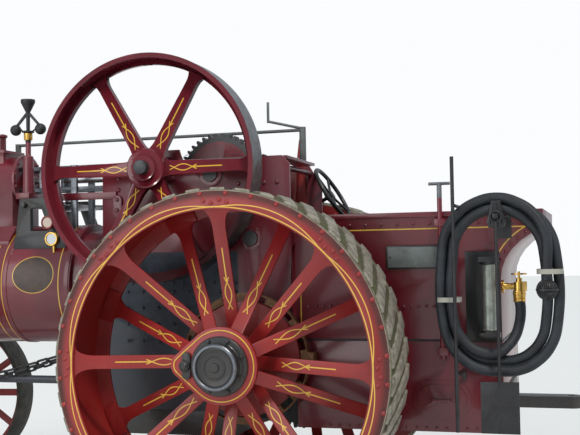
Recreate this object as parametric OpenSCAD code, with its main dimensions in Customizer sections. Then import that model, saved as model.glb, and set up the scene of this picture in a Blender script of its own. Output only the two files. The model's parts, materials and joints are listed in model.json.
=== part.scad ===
/* [Rear wheels] */
// Diameter of a rear wheel over its strakes
rear_d = 1980; // [1940:5:2000]
// Width of the rear rim
rear_w = 462; // [440:2:470]
// Distance from the centre plane to the outer edge of a rear rim
rear_y = 1080; // [1075:1:1100]
// Thickness of the strakes on the tread
strake_t = 17; // [12:1:22]
// Width of a strake
strake_w = 75; // [60:1:85]
// Strakes round one wheel
strake_n = 42; // [30:1:46]
// Slant of a strake across the tread, in degrees
strake_slant = 24; // [10:1:28]
// Depth of the rings inside the rim
ring_depth = 104; // [90:1:120]
// Thickness of a ring inside the rim
ring_t = 14; // [10:1:18]
// Spokes on each side of a rear wheel
spoke_n = 8; // [6:1:9]
// Width of a spoke at its middle
spoke_w = 76; // [60:1:80]
// Width of a spoke where it is riveted to the ring
palm_w = 190; // [150:2:210]
// Thickness of a spoke
spoke_t = 16; // [12:1:20]
// Radius of the plate on the outer face of a rear hub
hub_plate_r = 217; // [205:1:222]
// Radius of the cap on a rear hub
cap_r = 130; // [120:1:134]
// Diameter of the rear axle
axle_d = 116; // [104:2:124]

/* [Front wheels] */
// Diameter of a front wheel
front_d = 1140; // [1060:10:1160]
// Width of a front rim
front_w = 200; // [170:2:210]
// Distance from the centre plane to the outer edge of a front rim
front_y = 820; // [810:1:840]
// Spokes on each side of a front wheel
front_spoke_n = 6; // [5:1:7]

/* [Boiler] */
// Outer radius of the barrel's cladding
barrel_r = 400; // [390:1:404]
// Height of the barrel's centre line
boiler_z = 1430; // [1425:1:1440]
// Outer radius of the smokebox
smokebox_r = 430; // [420:1:436]
// Length of barrel that shows between the cylinder and the smokebox
barrel_gap = 221; // [200:1:320]
// Length of the smokebox
smokebox_len = 640; // [600:5:680]
// Length of the firebox
firebox_len = 920; // [910:5:930]
// Height of the chimney's top
chimney_top = 3150; // [2900:10:3300]
// Outer radius of the chimney
chimney_r = 130; // [122:1:140]

/* [Engine] */
// Outer radius of the flywheel
fly_r = 710; // [690:5:715]
// Width of the flywheel's rim
fly_w = 180; // [160:2:182]
// Thickness of the flywheel's rim
fly_rim_t = 30; // [24:1:36]
// Spokes of the flywheel
fly_spoke_n = 6; // [5:1:7]
// Height of the crankshaft
crank_z = 2150; // [2145:1:2155]
// Throw of the crank
crank_throw = 152; // [145:1:154]
// Diameter of the crankshaft
crank_d = 86; // [80:1:90]
// Length of the connecting rod between centres
rod_len = 780; // [770:1:790]
// Thickness of a hornplate
horn_t = 20; // [14:1:24]

/* [Gearing] */
// Teeth of the final gear on the rear axle
final_n = 60; // [58:1:61]
// Teeth of the pinion that drives the final gear
final_pinion_n = 14; // [13:1:15]
// Teeth of the large gear on the third shaft
third_n = 34; // [33:1:35]
// Teeth of the pinion on the second shaft
second_pinion_n = 24; // [23:1:25]
// Teeth of the large gear on the second shaft
second_n = 38; // [37:1:39]
// Teeth of the pinion on the crankshaft
crank_pinion_n = 14; // [13:1:15]

/* [Tender] */
// Outer face of a tender side from the centre plane
tender_y = 520; // [500:1:522]
// Height of the tender's top edge
tender_top = 1830; // [1800:5:1835]
// Height of the tender's underside
tender_bottom = 585; // [570:5:620]
// Height of the footplate
footplate_z = 1105; // [1095:1:1120]
// Thickness of the tender's plates
plate_t = 12; // [8:1:16]
// Diameter of the suction hose
hose_d = 57; // [50:1:59]

/* [Hidden] */
$fn = 64;

// Gap between a shaft and its bore, at a seat, and between pieces that pass each other
run_gap = 0.1;
seat_gap = 0.3;
pass_gap = 6;

// Wheels and axles
rear_r = rear_d / 2;
axle_z = rear_r;
tread_r = rear_r - strake_t;
rim_t = 16;
strake_edge = 14;
rear_in_y = rear_y - rear_w;
hub_y = rear_y - 80;
hub_plate_t = 22;
hub_nose_x = 227;
hub_nose_r = 70;
cap_flange_r = cap_r + 36;
cap_flange_t = 30;
driving_pin_x = 205;
hub_in_y = 600;
nave_r = 105;
cap_y = rear_y + 20;
axle_end_y = cap_y - 35;
front_r = front_d / 2;
front_in_y = front_y - front_w;
front_rim_t = 22;
spindle_r = 34;
front_hub_r = 78;
front_cap_y = front_y + 40;

// Boiler, forward from the rear axle
horn_y = 380;
horn_top = crank_z + 60;
firebox_x0 = 140;
firebox_x1 = firebox_x0 + firebox_len;
firebox_y = horn_y - horn_t;
firebox_z0 = 640;
firebox_top = 1850;
firehole_z = 1330;
firehole_r = 150;
cladding_x0 = firebox_x1 + 210;
shell_r = barrel_r - 40;
smokebox_wall = 14;
door_r = 340;
door_hinge_y = door_r + 24;
door_hinge_z = [boiler_z - 150, boiler_z + 150];
flue_r = chimney_r - 18;

// Shafts of the gear train
crank_x = 637;
second_x = 280;
second_z = 2110;
third_x = 26;
third_z = 1705;
shaft_d = 90;
second_dist = norm([crank_x - second_x, crank_z - second_z]);
third_dist = norm([second_x - third_x, second_z - third_z]);
final_dist = norm([third_x, third_z - axle_z]);
second_module = 2 * second_dist / (second_n + crank_pinion_n);
third_module = 2 * third_dist / (third_n + second_pinion_n);
final_module = 2 * final_dist / (final_n + final_pinion_n);
third_dir = atan2(second_z - third_z, second_x - third_x);
final_dir = atan2(third_z - axle_z, third_x);
// Turn of the spokes at rest, on the outer and the inner ring
spoke_lead = [1, -2];
spoke_flare = 112;
// Brake on the left hub
drum_r = 340;
block_r = drum_r + pass_gap;
band_r = drum_r + 48;
band_t = 7;
block_n = 12;
block_arc = 17;
// Inner and outer face of each pair of gears, from the centre plane
final_gear_y = [532, 598];
third_gear_y = [440, 500];
second_gear_y = [170, 240];
crank_pinion_y = [250, 296];

// Crank and motion
web_y = [52, 104];
rod_y = 36;
big_end = [85, 95, 72];
rod_r = [35, 26];
pin_x = crank_x + crank_throw;
crosshead_x = pin_x + rod_len;
small_end_r = 46;
piston_rod_r = 22;
cylinder_x0 = crosshead_x + 240;
cylinder_x1 = cylinder_x0 + 480;
cylinder_r = 170;
smokebox_x0 = cylinder_x1 + barrel_gap;
smokebox_x1 = smokebox_x0 + smokebox_len;
door_hinge_x = smokebox_x1 + 24;
chimney_x = smokebox_x1 - 300;
wheelbase = chimney_x;
slide_x0 = crosshead_x - 2 * crank_throw - 110;
slide_y = [66, 110];
slide_z = [60, 86];
bracket_x0 = 1335;
bracket_x1 = 1730;
bracket_y = [250, 285];
bracket_top = crank_z - 140;
sill_z = boiler_z + 360;
band_w = 40;
band_x = [cladding_x0 + 8, bracket_x1 + 5, smokebox_x0 - 60];
eccentric_throw = 45;
eccentric_r = 95;
strap_r = 122;
eccentric_len = 630;
strap_lug = [22, 16];
// Outer and inner face, angle of the sheave and height of the far eye, for each eccentric
ahead = [-192, -156, 115, 70];
astern = [-248, -212, -115, -70];
// Link between the two rods, its valve rod, and the shaft that lifts it
link_y = [-207, -197];
link_x = crank_x + eccentric_throw * cos(ahead[2]) + eccentric_len;
link_half_w = 26;
link_half_h = 105;
link_slot = [13, 42];
link_pin_r = 13;
lift_y = [-228, -212];
valve_y = (link_y[0] + link_y[1]) / 2;
valve_rod_r = 14;
weigh_r = 20;
reach_y = -300;
reach_z = crank_z + 85;
weigh_x = bracket_x1 - 70;
weigh_z = bracket_top - 45;
rod_z = crank_z + 280;
governor_x = 1680;
governor_y = 205;
governor_z = bracket_top + 390;

// Flywheel
fly_y1 = 604;
fly_y0 = fly_y1 - fly_w;
shaft_end_y = fly_y1 + 57;

// Tender, backward from the rear axle
tender_x0 = -300;
tender_x1 = -1495;
bunker_x = -760;
side_in_y = tender_y - plate_t;
corner_r = 80;
// Sweep of the tender's back edge: where it starts, its half axes and its last angle
sweep_z = 1440;
sweep = [400, 310, 66];
tender_lip_x = tender_x1 - sweep[0] * (1 - cos(sweep[2]));
bead_h = 30;
bead_t = 8;
// Manhole lid on the tank: its place, the radius of its ends and half its straight length
manhole_at = [-1152, 766];
manhole = [110, 55];
drawbar_x = -1900;
drawbar_pin_r = 19;

// Hose coil on the tender's left side
coil_x = -1505;
coil_z = 1400;
coil_half_x = 329;
coil_half_z = 515;
coil_strand = 2 * hose_d + 3;
coil_y0 = 676;
coil_y1 = coil_y0 + 2 * hose_d - 3;
hook_w = 30;
hook_horn = [50, 28, 104];
coil_bend_z = coil_half_z - coil_half_x;
coil_in_r = coil_half_x - coil_strand;
hook_top = coil_z + coil_bend_z + sqrt(coil_in_r * coil_in_r - hook_w * hook_w / 4) - seat_gap;
iron_y = 835;
iron_ring_r = 22;
iron_ring_z = hook_top + seat_gap - sqrt(iron_ring_r * iron_ring_r - hook_w * hook_w / 4);

// Valve that the hose leaves, and the hose's way from it to the coil
valve_at = [-1600, 600, 1400];
pipe_r = 18;
valve_z0 = 1368;
tail = [[-1600, 600, valve_z0], [-1600, 600, 1345], [-1606, 616, 1285], [-1600, 654, 1205], [-1574, 700, 1130],
    [-1530, 734, 1078], [-1470, 748, 1044], [-1405, 748, 1026], [-1345, 738, 1028]];
tail_sides = 10;

// Steering
steer_barrel_x = 1180;
steer_z = 1000;
steer_barrel_r = 55;
steer_y = 405;
chain_y0 = 140;
chain_y1 = 400;
chain_r = 17;
perch_z = 720;
beam_h = 110;
wheel_at = [-296, -steer_y, 2008];
worm_at = [steer_barrel_x, -steer_y, steer_z + 100];
steer_wheel_r = 195;

// The origin is on the ground at mid length
front_reach = wheelbase + front_r;
shift_x = (-drawbar_x - front_reach) / 2;

// Everything is drawn from the rear axle's centre line, and this moves it to the origin
module placed() {
    translate([shift_x, 0, 0]) children();
}

// A plate whose outline lies in X and Z, between two distances from the centre plane
module side_plate(y0, y1) {
    translate([0, y1, 0]) rotate([90, 0, 0]) linear_extrude(height = y1 - y0) children();
}

// A round bar along Y
module bar_y(x, z, r, y0, y1) {
    translate([x, y1, z]) rotate([90, 0, 0]) cylinder(r = r, h = y1 - y0);
}

// A round bar along X
module bar_x(y, z, r, x0, x1) {
    translate([x0, y, z]) rotate([0, 90, 0]) cylinder(r = r, h = x1 - x0);
}

// A piece turned about Y, from pairs of radius and distance from the centre plane
module turned_y(x, z, profile) {
    translate([x, 0, z]) rotate([-90, 0, 0]) rotate_extrude() polygon(profile);
}

// A piece turned about X, from pairs of radius and place along X
module turned_x(y, z, profile) {
    translate([0, y, z]) rotate([0, 90, 0]) rotate_extrude() polygon(profile);
}

// Quarter of an ellipse that leaves point a along X and reaches point b square to it
function flare(a, b, n = 6) = [for (i = [0:n])
    [a.x + (b.x - a.x) * sin(90 * i / n), b.y - (b.y - a.y) * cos(90 * i / n)]];
function backward(p) = [for (i = [len(p) - 1:-1:0]) p[i]];
// An outline from its upper edge, with the same edge below
function both_edges(p) = concat(p, [for (q = backward(p)) [q.x, -q.y]]);

// A flat bar between two round ends, in X and Z, each end a place and a radius
module link_bar(a, ra, b, rb) {
    d = norm(b - a);
    lean = acos((ra - rb) / d);
    translate(a) rotate(atan2(b.y - a.y, b.x - a.x)) {
        circle(r = ra);
        translate([d, 0]) circle(r = rb);
        polygon([ra * [cos(lean), sin(lean)], ra * [cos(lean), -sin(lean)],
            [d, 0] + rb * [cos(lean), -sin(lean)], [d, 0] + rb * [cos(lean), sin(lean)]]);
    }
}

// A flat arm between two round ends that are wider than it, in X and Z
module arm(a, ra, b, rb) {
    d = norm(b - a);
    translate(a) rotate(atan2(b.y - a.y, b.x - a.x)) {
        circle(r = ra);
        translate([d, 0]) circle(r = rb);
        polygon([[0, 0.8 * ra], [0, -0.8 * ra], [d, -0.8 * rb], [d, 0.8 * rb]]);
    }
}

// A round bar between two points
module bar(a, b, r) {
    d = b - a;
    translate(a) rotate([0, acos(d.z / norm(d)), atan2(d.y, d.x)]) cylinder(r = r, h = norm(d));
}

// The room that the barrel takes, for what is seated on it
module barrel_space() {
    bar_x(0, boiler_z, barrel_r + seat_gap, firebox_x1, smokebox_x0, $fn = 192);
}

// A box between two corners
module block(a, b) {
    translate(a) cube(b - a);
}

// Outline of a gear with straight-flanked teeth, one tooth along +X
module gear_outline(m, n) {
    r = m * n / 2;
    a = 360 / n;
    // Radius and share of the pitch for each corner of a tooth
    corners = [[r - m, -0.30], [r, -0.21], [r + 0.75 * m, -0.12], [r + 0.75 * m, 0.12], [r, 0.21], [r - m, 0.30]];
    polygon([for (i = [0:n - 1]) for (c = corners) c[0] * [cos(a * (i + c[1])), sin(a * (i + c[1]))]]);
}

// A gear on a shaft along Y, turned so that a tooth points at angle turn above +X
module gear(x, z, m, n, turn, y0, y1) {
    translate([x, 0, z]) side_plate(y0, y1) rotate(turn) gear_outline(m, n);
}

module on_left(side) {
    if (side > 0) children();
    else mirror([0, 1, 0]) children();
}

// Rear rim with its two rings and its strakes, about its own axle, on the left
module rear_rim() {
    difference() {
        bar_y(0, 0, tread_r, rear_in_y, rear_y, $fn = 96);
        bar_y(0, 0, tread_r - rim_t, rear_in_y + ring_t, rear_y - ring_t, $fn = 96);
        bar_y(0, 0, tread_r - ring_depth, rear_in_y - 1, rear_y + 1, $fn = 96);
    }
    intersection() {
        bar_ring(rear_r, tread_r - 1, rear_in_y + strake_edge, rear_y - strake_edge);
        for (i = [0:strake_n - 1])
            rotate([0, i * 360 / strake_n, 0]) translate([tread_r, (rear_in_y + rear_y) / 2, 0])
                rotate([strake_slant, 0, 0]) cube([4 * strake_t, 2 * rear_w, strake_w], center = true);
    }
}

// A plain ring about Y
module bar_ring(r1, r0, y0, y1) {
    difference() {
        bar_y(0, 0, r1, y0, y1, $fn = 96);
        bar_y(0, 0, r0, y0 - 1, y1 + 1, $fn = 96);
    }
}

// A flat spoke between two points, each a radius and a distance from the centre plane, that flares to its palm
module flat_spoke(a, b, w, palm, reach, thick) {
    d = norm(b - a);
    translate([a.x, a.y, 0]) rotate([0, 0, atan2(b.y - a.y, b.x - a.x)]) side_plate(-thick / 2, thick / 2)
        polygon(both_edges(concat([[0, w / 2]], flare([d - reach, w / 2], [d, palm / 2]), [[d + 4, palm / 2]])));
}

// A spoke from the nave at y_hub to its palm, which lies flat between y_palm and y_palm + spoke_t
module spoke(y_hub, y_palm) {
    r1 = tread_r - ring_depth;
    flat_spoke([nave_r - 15, y_hub], [r1, y_palm + spoke_t / 2], spoke_w, palm_w - 6, spoke_flare, spoke_t - 3);
    block([r1 - 5, y_palm, -palm_w / 2], [tread_r - rim_t - 8, y_palm + spoke_t, palm_w / 2]);
}

// The nave and both sets of spokes, about the axle, on the left
module rear_spokes() {
    difference() {
        union() {
            for (i = [0:spoke_n - 1]) {
                rotate([0, -i * 360 / spoke_n - spoke_lead[0], 0])
                    spoke(rear_y - 340, rear_y - ring_t - spoke_t - seat_gap);
                rotate([0, -(i + 0.5) * 360 / spoke_n - spoke_lead[1], 0]) spoke(hub_y - 40, rear_in_y + ring_t + seat_gap);
            }
            bar_y(0, 0, nave_r, hub_in_y, hub_y - hub_plate_t);
            bar_y(0, 0, nave_r + 55, rear_y - 362, rear_y - 336);
        }
        bar_y(0, 0, axle_d / 2 + run_gap, 0, rear_y);
    }
}

// The plate, the driving pin and the cap of a rear hub, about the axle, on the left
module rear_cap() {
    cap_h = cap_y - hub_y;
    difference() {
        union() {
            side_plate(hub_y - hub_plate_t, hub_y) link_bar([0, 0], hub_plate_r, [hub_nose_x, 0], hub_nose_r);
            turned_y(0, 0, [for (p = [[0, 0], [cap_flange_r, 0], [cap_flange_r, cap_flange_t - 6],
                [cap_flange_r - 6, cap_flange_t], [cap_r, cap_flange_t], [cap_r, cap_h - 6], [cap_r - 6, cap_h],
                [cap_r - 20, cap_h], [cap_r - 26, cap_h - 8], [36, cap_h - 8], [30, cap_h - 2], [0, cap_h - 2]])
                [p[0], hub_y + p[1]]]);
            side_plate(hub_y, hub_y + 22) link_bar([driving_pin_x - 8, -50], 27, [driving_pin_x - 8, 50], 26);
            turned_y(driving_pin_x, 0, [[0, hub_y + 21], [34, hub_y + 21], [34, hub_y + 40], [27, hub_y + 47],
                [0, hub_y + 47]]);
            for (i = [0:7]) rotate([0, 22.5 + 45 * i, 0]) bar_y(cap_r + 18, 0, 10, hub_y + 20, hub_y + 42, $fn = 24);
        }
        bar_y(0, 0, axle_d / 2 + run_gap, 0, axle_end_y + pass_gap / 2);
    }
}

module rear_rim_left() {
    color("firebrick") placed() translate([0, 0, axle_z]) rear_rim();
}

module rear_rim_right() {
    color("firebrick") placed() translate([0, 0, axle_z]) on_left(-1) rear_rim();
}

module rear_spokes_left() {
    color("firebrick") placed() translate([0, 0, axle_z]) rear_spokes();
}

module rear_spokes_right() {
    color("firebrick") placed() translate([0, 0, axle_z]) on_left(-1) rear_spokes();
}

module rear_cap_left() {
    color("black") placed() translate([0, 0, axle_z]) rear_cap();
}

module rear_cap_right() {
    color("black") placed() translate([0, 0, axle_z]) on_left(-1) rear_cap();
}

// The axle turns with the right wheel and carries the final gear
module rear_axle() {
    color("dimgray") placed() translate([0, 0, axle_z]) {
        bar_y(0, 0, axle_d / 2, -axle_end_y, axle_end_y);
        difference() {
            gear(0, 0, final_module, final_n, final_dir, -final_gear_y[1], -final_gear_y[0]);
            for (i = [0:5]) rotate([0, i * 60, 0])
                bar_y(final_module * final_n * 0.29, 0, 95, -final_gear_y[1] - 1, -final_gear_y[0] + 1);
        }
    }
}

module brake_drum() {
    color("firebrick") placed() translate([0, 0, axle_z]) difference() {
        bar_y(0, 0, drum_r, tender_y + 20, hub_in_y);
        bar_y(0, 0, drum_r - 18, tender_y + 19, hub_in_y - 14);
        bar_y(0, 0, axle_d / 2 + run_gap, 0, rear_y);
    }
}

// Steel band with wooden blocks round the drum, open at the front below
module brake_band() {
    y0 = tender_y + 25;
    y1 = hub_in_y - 5;
    color("saddlebrown") placed() {
        translate([0, 0, axle_z]) {
            difference() {
                bar_ring(band_r, band_r - band_t, y0, y1);
                block([200, y0 - 1, -2 * drum_r], [2 * drum_r, y1 + 1, -60]);
            }
            intersection() {
                bar_ring(band_r - band_t + 1, block_r, y0, y1);
                for (i = [0:block_n * 3 / 4]) rotate([0, -i * 360 / block_n, 0]) side_plate(y0, y1)
                    polygon([[0, 0], 2 * drum_r * [cos(block_arc / 2), -sin(block_arc / 2)],
                        2 * drum_r * [cos(block_arc / 2), sin(block_arc / 2)]]);
            }
        }
        block([-band_r - 34, tender_y, axle_z - 40], [-band_r + 6, y1, axle_z + 40]);
    }
}

// Front wheel about its own centre, on the left
module front_wheel() {
    mid_y = (front_in_y + front_y) / 2;
    difference() {
        bar_y(0, 0, front_r, front_in_y, front_y);
        bar_y(0, 0, front_r - front_rim_t, front_in_y - 1, front_y + 1);
    }
    bar_ring(front_r - front_rim_t + 1, front_r - 80, mid_y - 8, mid_y + 8);
    difference() {
        union() {
            turned_y(0, 0, [[0, front_in_y - 12], [front_hub_r, front_in_y - 12], [front_hub_r, front_y + 10],
                [front_hub_r - 14, front_y + 18], [front_hub_r - 14, front_cap_y - 8], [front_hub_r - 22, front_cap_y],
                [0, front_cap_y]]);
            for (i = [0:front_spoke_n - 1]) {
                rotate([0, -i * 360 / front_spoke_n, 0])
                    flat_spoke([front_hub_r - 14, front_in_y + 20], [front_r - 52, mid_y - 13], 52, 84, 40, 12);
                rotate([0, -(i + 0.5) * 360 / front_spoke_n, 0])
                    flat_spoke([front_hub_r - 14, front_y - 10], [front_r - 52, mid_y + 13], 52, 84, 40, 12);
            }
        }
        bar_y(0, 0, spindle_r + run_gap, 0, front_cap_y - 18);
    }
}

module front_wheel_left() {
    color("firebrick") placed() translate([wheelbase, 0, front_r]) front_wheel();
}

module front_wheel_right() {
    color("firebrick") placed() translate([wheelbase, 0, front_r]) on_left(-1) front_wheel();
}

// The beam turns about the perch pin
module front_axle() {
    color("black") placed() {
        difference() {
            union() {
                translate([wheelbase - 45, 0, front_r]) rotate([90, 0, 90]) linear_extrude(height = 90)
                    polygon(both_edges([[-front_in_y + 28, 38], [-120, beam_h / 2], [120, beam_h / 2],
                        [front_in_y - 28, 38]]));
                translate([wheelbase, 0, front_r - beam_h / 2])
                    cylinder(r = 90, h = perch_z - pass_gap - front_r + beam_h / 2);
            }
            translate([wheelbase, 0, front_r - beam_h])
                cylinder(r = spindle_r + run_gap, h = perch_z - front_r + beam_h);
        }
        for (s = [-1, 1]) {
            bar_y(wheelbase, front_r, spindle_r, s > 0 ? front_in_y - 28 : -front_cap_y + 22,
                s > 0 ? front_cap_y - 22 : -front_in_y + 28);
        }
    }
}

module perch_bracket() {
    color("black") placed() {
        difference() {
            union() {
                block([wheelbase - 170, -150, perch_z], [wheelbase + 170, 150, perch_z + 30]);
                side_plate(-110, 110) polygon([[wheelbase - 150, perch_z + 29], [wheelbase + 150, perch_z + 29],
                    [wheelbase + 95, perch_z + 130], [wheelbase + 130, boiler_z - smokebox_r + 60],
                    [wheelbase - 130, boiler_z - smokebox_r + 60], [wheelbase - 95, perch_z + 130]]);
            }
            bar_x(0, boiler_z, smokebox_r + seat_gap, smokebox_x0, smokebox_x1);
        }
        translate([wheelbase, 0, front_r - beam_h / 2]) cylinder(r = spindle_r, h = perch_z - front_r + beam_h / 2 + 10);
    }
}

module boiler_barrel() {
    color("brown") placed() {
        bar_x(0, boiler_z, shell_r, firebox_x1, cladding_x0 + 1);
        bar_x(0, boiler_z, barrel_r, cladding_x0, smokebox_x0);
        for (x = band_x) bar_x(0, boiler_z, barrel_r + 5, x, x + band_w);
    }
}

module smokebox() {
    color("black") placed() difference() {
        union() {
            bar_x(0, boiler_z, smokebox_r, smokebox_x0, smokebox_x1);
            bar_x(0, boiler_z, smokebox_r + 4, smokebox_x1 - 60, smokebox_x1 - 8);
            for (z = door_hinge_z, s = [-1, 1])
                block([smokebox_x1 - 1, door_hinge_y - 13, z + s * 34 - 12],
                    [door_hinge_x + 13, door_hinge_y + 13, z + s * 34 + 12]);
        }
        for (z = door_hinge_z) translate([door_hinge_x, door_hinge_y, z - 60]) cylinder(r = 8 + run_gap, h = 120);
        bar_x(0, boiler_z, smokebox_r - smokebox_wall, smokebox_x0 + smokebox_wall, smokebox_x1 - smokebox_wall);
        bar_x(0, boiler_z, door_r - 15, smokebox_x1 - 60, smokebox_x1 + 1);
        translate([chimney_x, 0, boiler_z]) cylinder(r = flue_r, h = smokebox_r + 10);
    }
}

module smokebox_door() {
    color("black") placed() {
        turned_x(0, boiler_z, [[0, smokebox_x1 + seat_gap], [door_r, smokebox_x1 + seat_gap], [door_r, smokebox_x1 + 12],
            [door_r - 6, smokebox_x1 + 16], [door_r * 0.86, smokebox_x1 + 18], [door_r * 0.6, smokebox_x1 + 32],
            [door_r * 0.3, smokebox_x1 + 41], [0, smokebox_x1 + 44]]);
        bar_x(0, boiler_z, 22, smokebox_x1 + 29, smokebox_x1 + 95);
        bar([smokebox_x1 + 80, 0, boiler_z], [smokebox_x1 + 80, 0, boiler_z - 190], 9);
        bar([smokebox_x1 + 64, 0, boiler_z], [smokebox_x1 + 64, -160, boiler_z - 90], 9);
        for (z = door_hinge_z) {
            block([smokebox_x1 + 15, -door_r * 0.75, z - 20], [door_hinge_x + 8, door_hinge_y, z + 20]);
            translate([door_hinge_x, door_hinge_y, z - 20]) cylinder(r = 15, h = 40);
            translate([door_hinge_x, door_hinge_y, z - 46]) cylinder(r = 8, h = 92);
        }
    }
}

module chimney() {
    z = boiler_z + smokebox_r;
    saddle_r = smokebox_r * 0.52;
    color("black") placed() difference() {
        translate([chimney_x, 0, 0]) rotate_extrude() polygon([[flue_r, boiler_z + 300], [saddle_r, boiler_z + 300],
            [saddle_r, z + 8], [saddle_r - 14, z + 20], [chimney_r + 40, z + 34], [chimney_r + 16, z + 62],
            [chimney_r, z + 140], [chimney_r + 8, chimney_top - 180], [chimney_r + 14, chimney_top - 130],
            [chimney_r + 36, chimney_top - 60], [chimney_r + 36, chimney_top - 12], [chimney_r + 28, chimney_top],
            [flue_r, chimney_top]]);
        bar_x(0, boiler_z, smokebox_r + seat_gap, smokebox_x0 - 50, smokebox_x1 + 50);
    }
}

// Outer wrapper with a round top, open inside from the firehole down to the ashpan
module firebox() {
    color("darkslategray") placed() difference() {
        union() {
            translate([firebox_x1, 0, 0]) rotate([0, -90, 0]) linear_extrude(height = firebox_len) {
                translate([firebox_z0, -firebox_y]) square([firebox_top - firebox_y - firebox_z0, 2 * firebox_y]);
                translate([firebox_top - firebox_y, 0]) circle(r = firebox_y);
            }
            for (z = [firehole_z - 88, firehole_z + 62])
                block([firebox_x0 - 35, firehole_r + 49, z], [firebox_x0 + 1, firehole_r + 75, z + 26]);
        }
        translate([firebox_x0 - 22, firehole_r + 62, firehole_z - 100]) cylinder(r = 7 + run_gap, h = 200);
        block([firebox_x0 + 90, -firebox_y + 90, firebox_z0 - 1],
            [firebox_x1 - 90, firebox_y - 90, firehole_z + 220]);
        bar_x(0, firehole_z, firehole_r, firebox_x0 - 1, firebox_x0 + 100);
    }
}

module ashpan() {
    color("black") placed() difference() {
        block([firebox_x0 + 30, -firebox_y + 20, firebox_z0 - 160], [firebox_x1 - 30, firebox_y - 20, firebox_z0]);
        block([firebox_x0 + 42, -firebox_y + 32, firebox_z0 - 148], [firebox_x1, firebox_y - 32, firebox_z0 + 1]);
    }
}

module firehole_door() {
    color("black") placed() {
        bar_x(0, firehole_z, firehole_r + 18, firebox_x0 - 18, firebox_x0 - seat_gap);
        block([firebox_x0 - 30, -firehole_r - 8, firehole_z - 12], [firebox_x0 - 17, firehole_r + 62, firehole_z + 12]);
        translate([firebox_x0 - 22, firehole_r + 62, firehole_z - 60]) cylinder(r = 14, h = 120);
        translate([firebox_x0 - 22, firehole_r + 62, firehole_z - 86]) cylinder(r = 7, h = 172);
    }
}

// Hornplate with its bearings, on the left; its upper rear corner is cut between two points
module hornplate(corner) {
    saddle = crank_z + 125;
    difference() {
        union() {
            side_plate(firebox_y, horn_y) polygon([[-230, axle_z - 120], [200, axle_z - 120],
                [firebox_x1 - 20, 1250], [firebox_x1 - 30, horn_top - 90], [crank_x + 160, horn_top],
                [crank_x + 140, saddle], [crank_x - 140, saddle], [crank_x - 160, horn_top], corner[0], corner[1]]);
            for (b = [[crank_x, crank_z, 90, 34], [second_x, second_z, 75, 14], [third_x, third_z, 75, 5],
                [0, axle_z, 100, 30]]) bar_y(b[0], b[1], b[2], firebox_y - 30, horn_y + b[3]);
            side_plate(horn_y - 1, horn_y + 22) {
                block2([crank_x - 118, crank_z - 62], [crank_x + 118, crank_z + 8]);
                block2([crank_x - 104, crank_z - 1], [crank_x + 104, crank_z + 78]);
            }
            for (s = [-1, 1]) translate([crank_x + s * 97, horn_y + 11, crank_z + 70])
                cylinder(r = 9, h = 40, $fn = 24);
        }
        bar_y(crank_x, crank_z, crank_d / 2 + run_gap, 0, tender_y);
        bar_y(second_x, second_z, shaft_d / 2 + run_gap, 0, tender_y);
        bar_y(third_x, third_z, shaft_d / 2 + run_gap, 0, tender_y);
        bar_y(0, axle_z, axle_d / 2 + run_gap, 0, tender_y);
    }
}

module hornplate_left() {
    color("maroon") placed() {
        hornplate([[-180, horn_top], [-230, horn_top - 50]]);
        bar_y(-150, horn_top - 60, 18, -firebox_y, firebox_y);
        bar_y(930, firebox_top + 50, 18, -firebox_y, firebox_y);
        block([-210, -270, horn_top - 18], [-90, firebox_y, horn_top]);
    }
}

module hornplate_right() {
    color("maroon") placed() on_left(-1) hornplate([[-140, horn_top], [-230, horn_top - 150]]);
}

module crankshaft() {
    color("gray") placed() {
        bar_y(crank_x, crank_z, crank_d / 2, -560, -web_y[0]);
        bar_y(crank_x, crank_z, crank_d / 2, web_y[0], shaft_end_y);
        bar_y(pin_x, crank_z, crank_d / 2, -web_y[1], web_y[1]);
        for (y = [web_y[0], -web_y[1]]) {
            bar_y(crank_x, crank_z, 74, y, y + web_y[1] - web_y[0]);
            bar_y(pin_x, crank_z, 70, y, y + web_y[1] - web_y[0]);
            block([crank_x, y, crank_z - 70], [pin_x, y + web_y[1] - web_y[0], crank_z + 70]);
        }
        for (e = [ahead, astern])
            bar_y(crank_x + eccentric_throw * cos(e[2]), crank_z + eccentric_throw * sin(e[2]), eccentric_r, e[0], e[1]);
        gear(crank_x, crank_z, second_module, crank_pinion_n, 0, crank_pinion_y[0], crank_pinion_y[1]);
    }
}

module flywheel() {
    mid = (fly_y0 + fly_y1) / 2;
    color("maroon") placed() {
        translate([crank_x, 0, crank_z]) {
            bar_ring(fly_r, fly_r - fly_rim_t, fly_y0, fly_y1);
            bar_ring(fly_r - fly_rim_t + 1, fly_r - 62, mid - 12, mid + 12);
        }
        difference() {
            union() {
                turned_y(crank_x, crank_z, [[0, fly_y0 + 20], [115, fly_y0 + 20], [115, mid + 34], [124, mid + 40],
                    [124, fly_y1 - 22], [116, fly_y1 - 14], [80, fly_y1 - 14], [80, fly_y1 + 6], [74, fly_y1 + 12],
                    [0, fly_y1 + 12]]);
                translate([crank_x, 0, crank_z]) for (i = [0:fly_spoke_n - 1]) rotate([0, i * 360 / fly_spoke_n, 0])
                    side_plate(mid - 22, mid + 22) polygon(both_edges(concat(
                        backward(flare([190, 43], [95, 72])), flare([fly_r - 125, 35], [fly_r - 52, 66]))));
            }
            bar_y(crank_x, crank_z, crank_d / 2 + run_gap, fly_y0, fly_y1 + 20);
        }
    }
}

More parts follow.
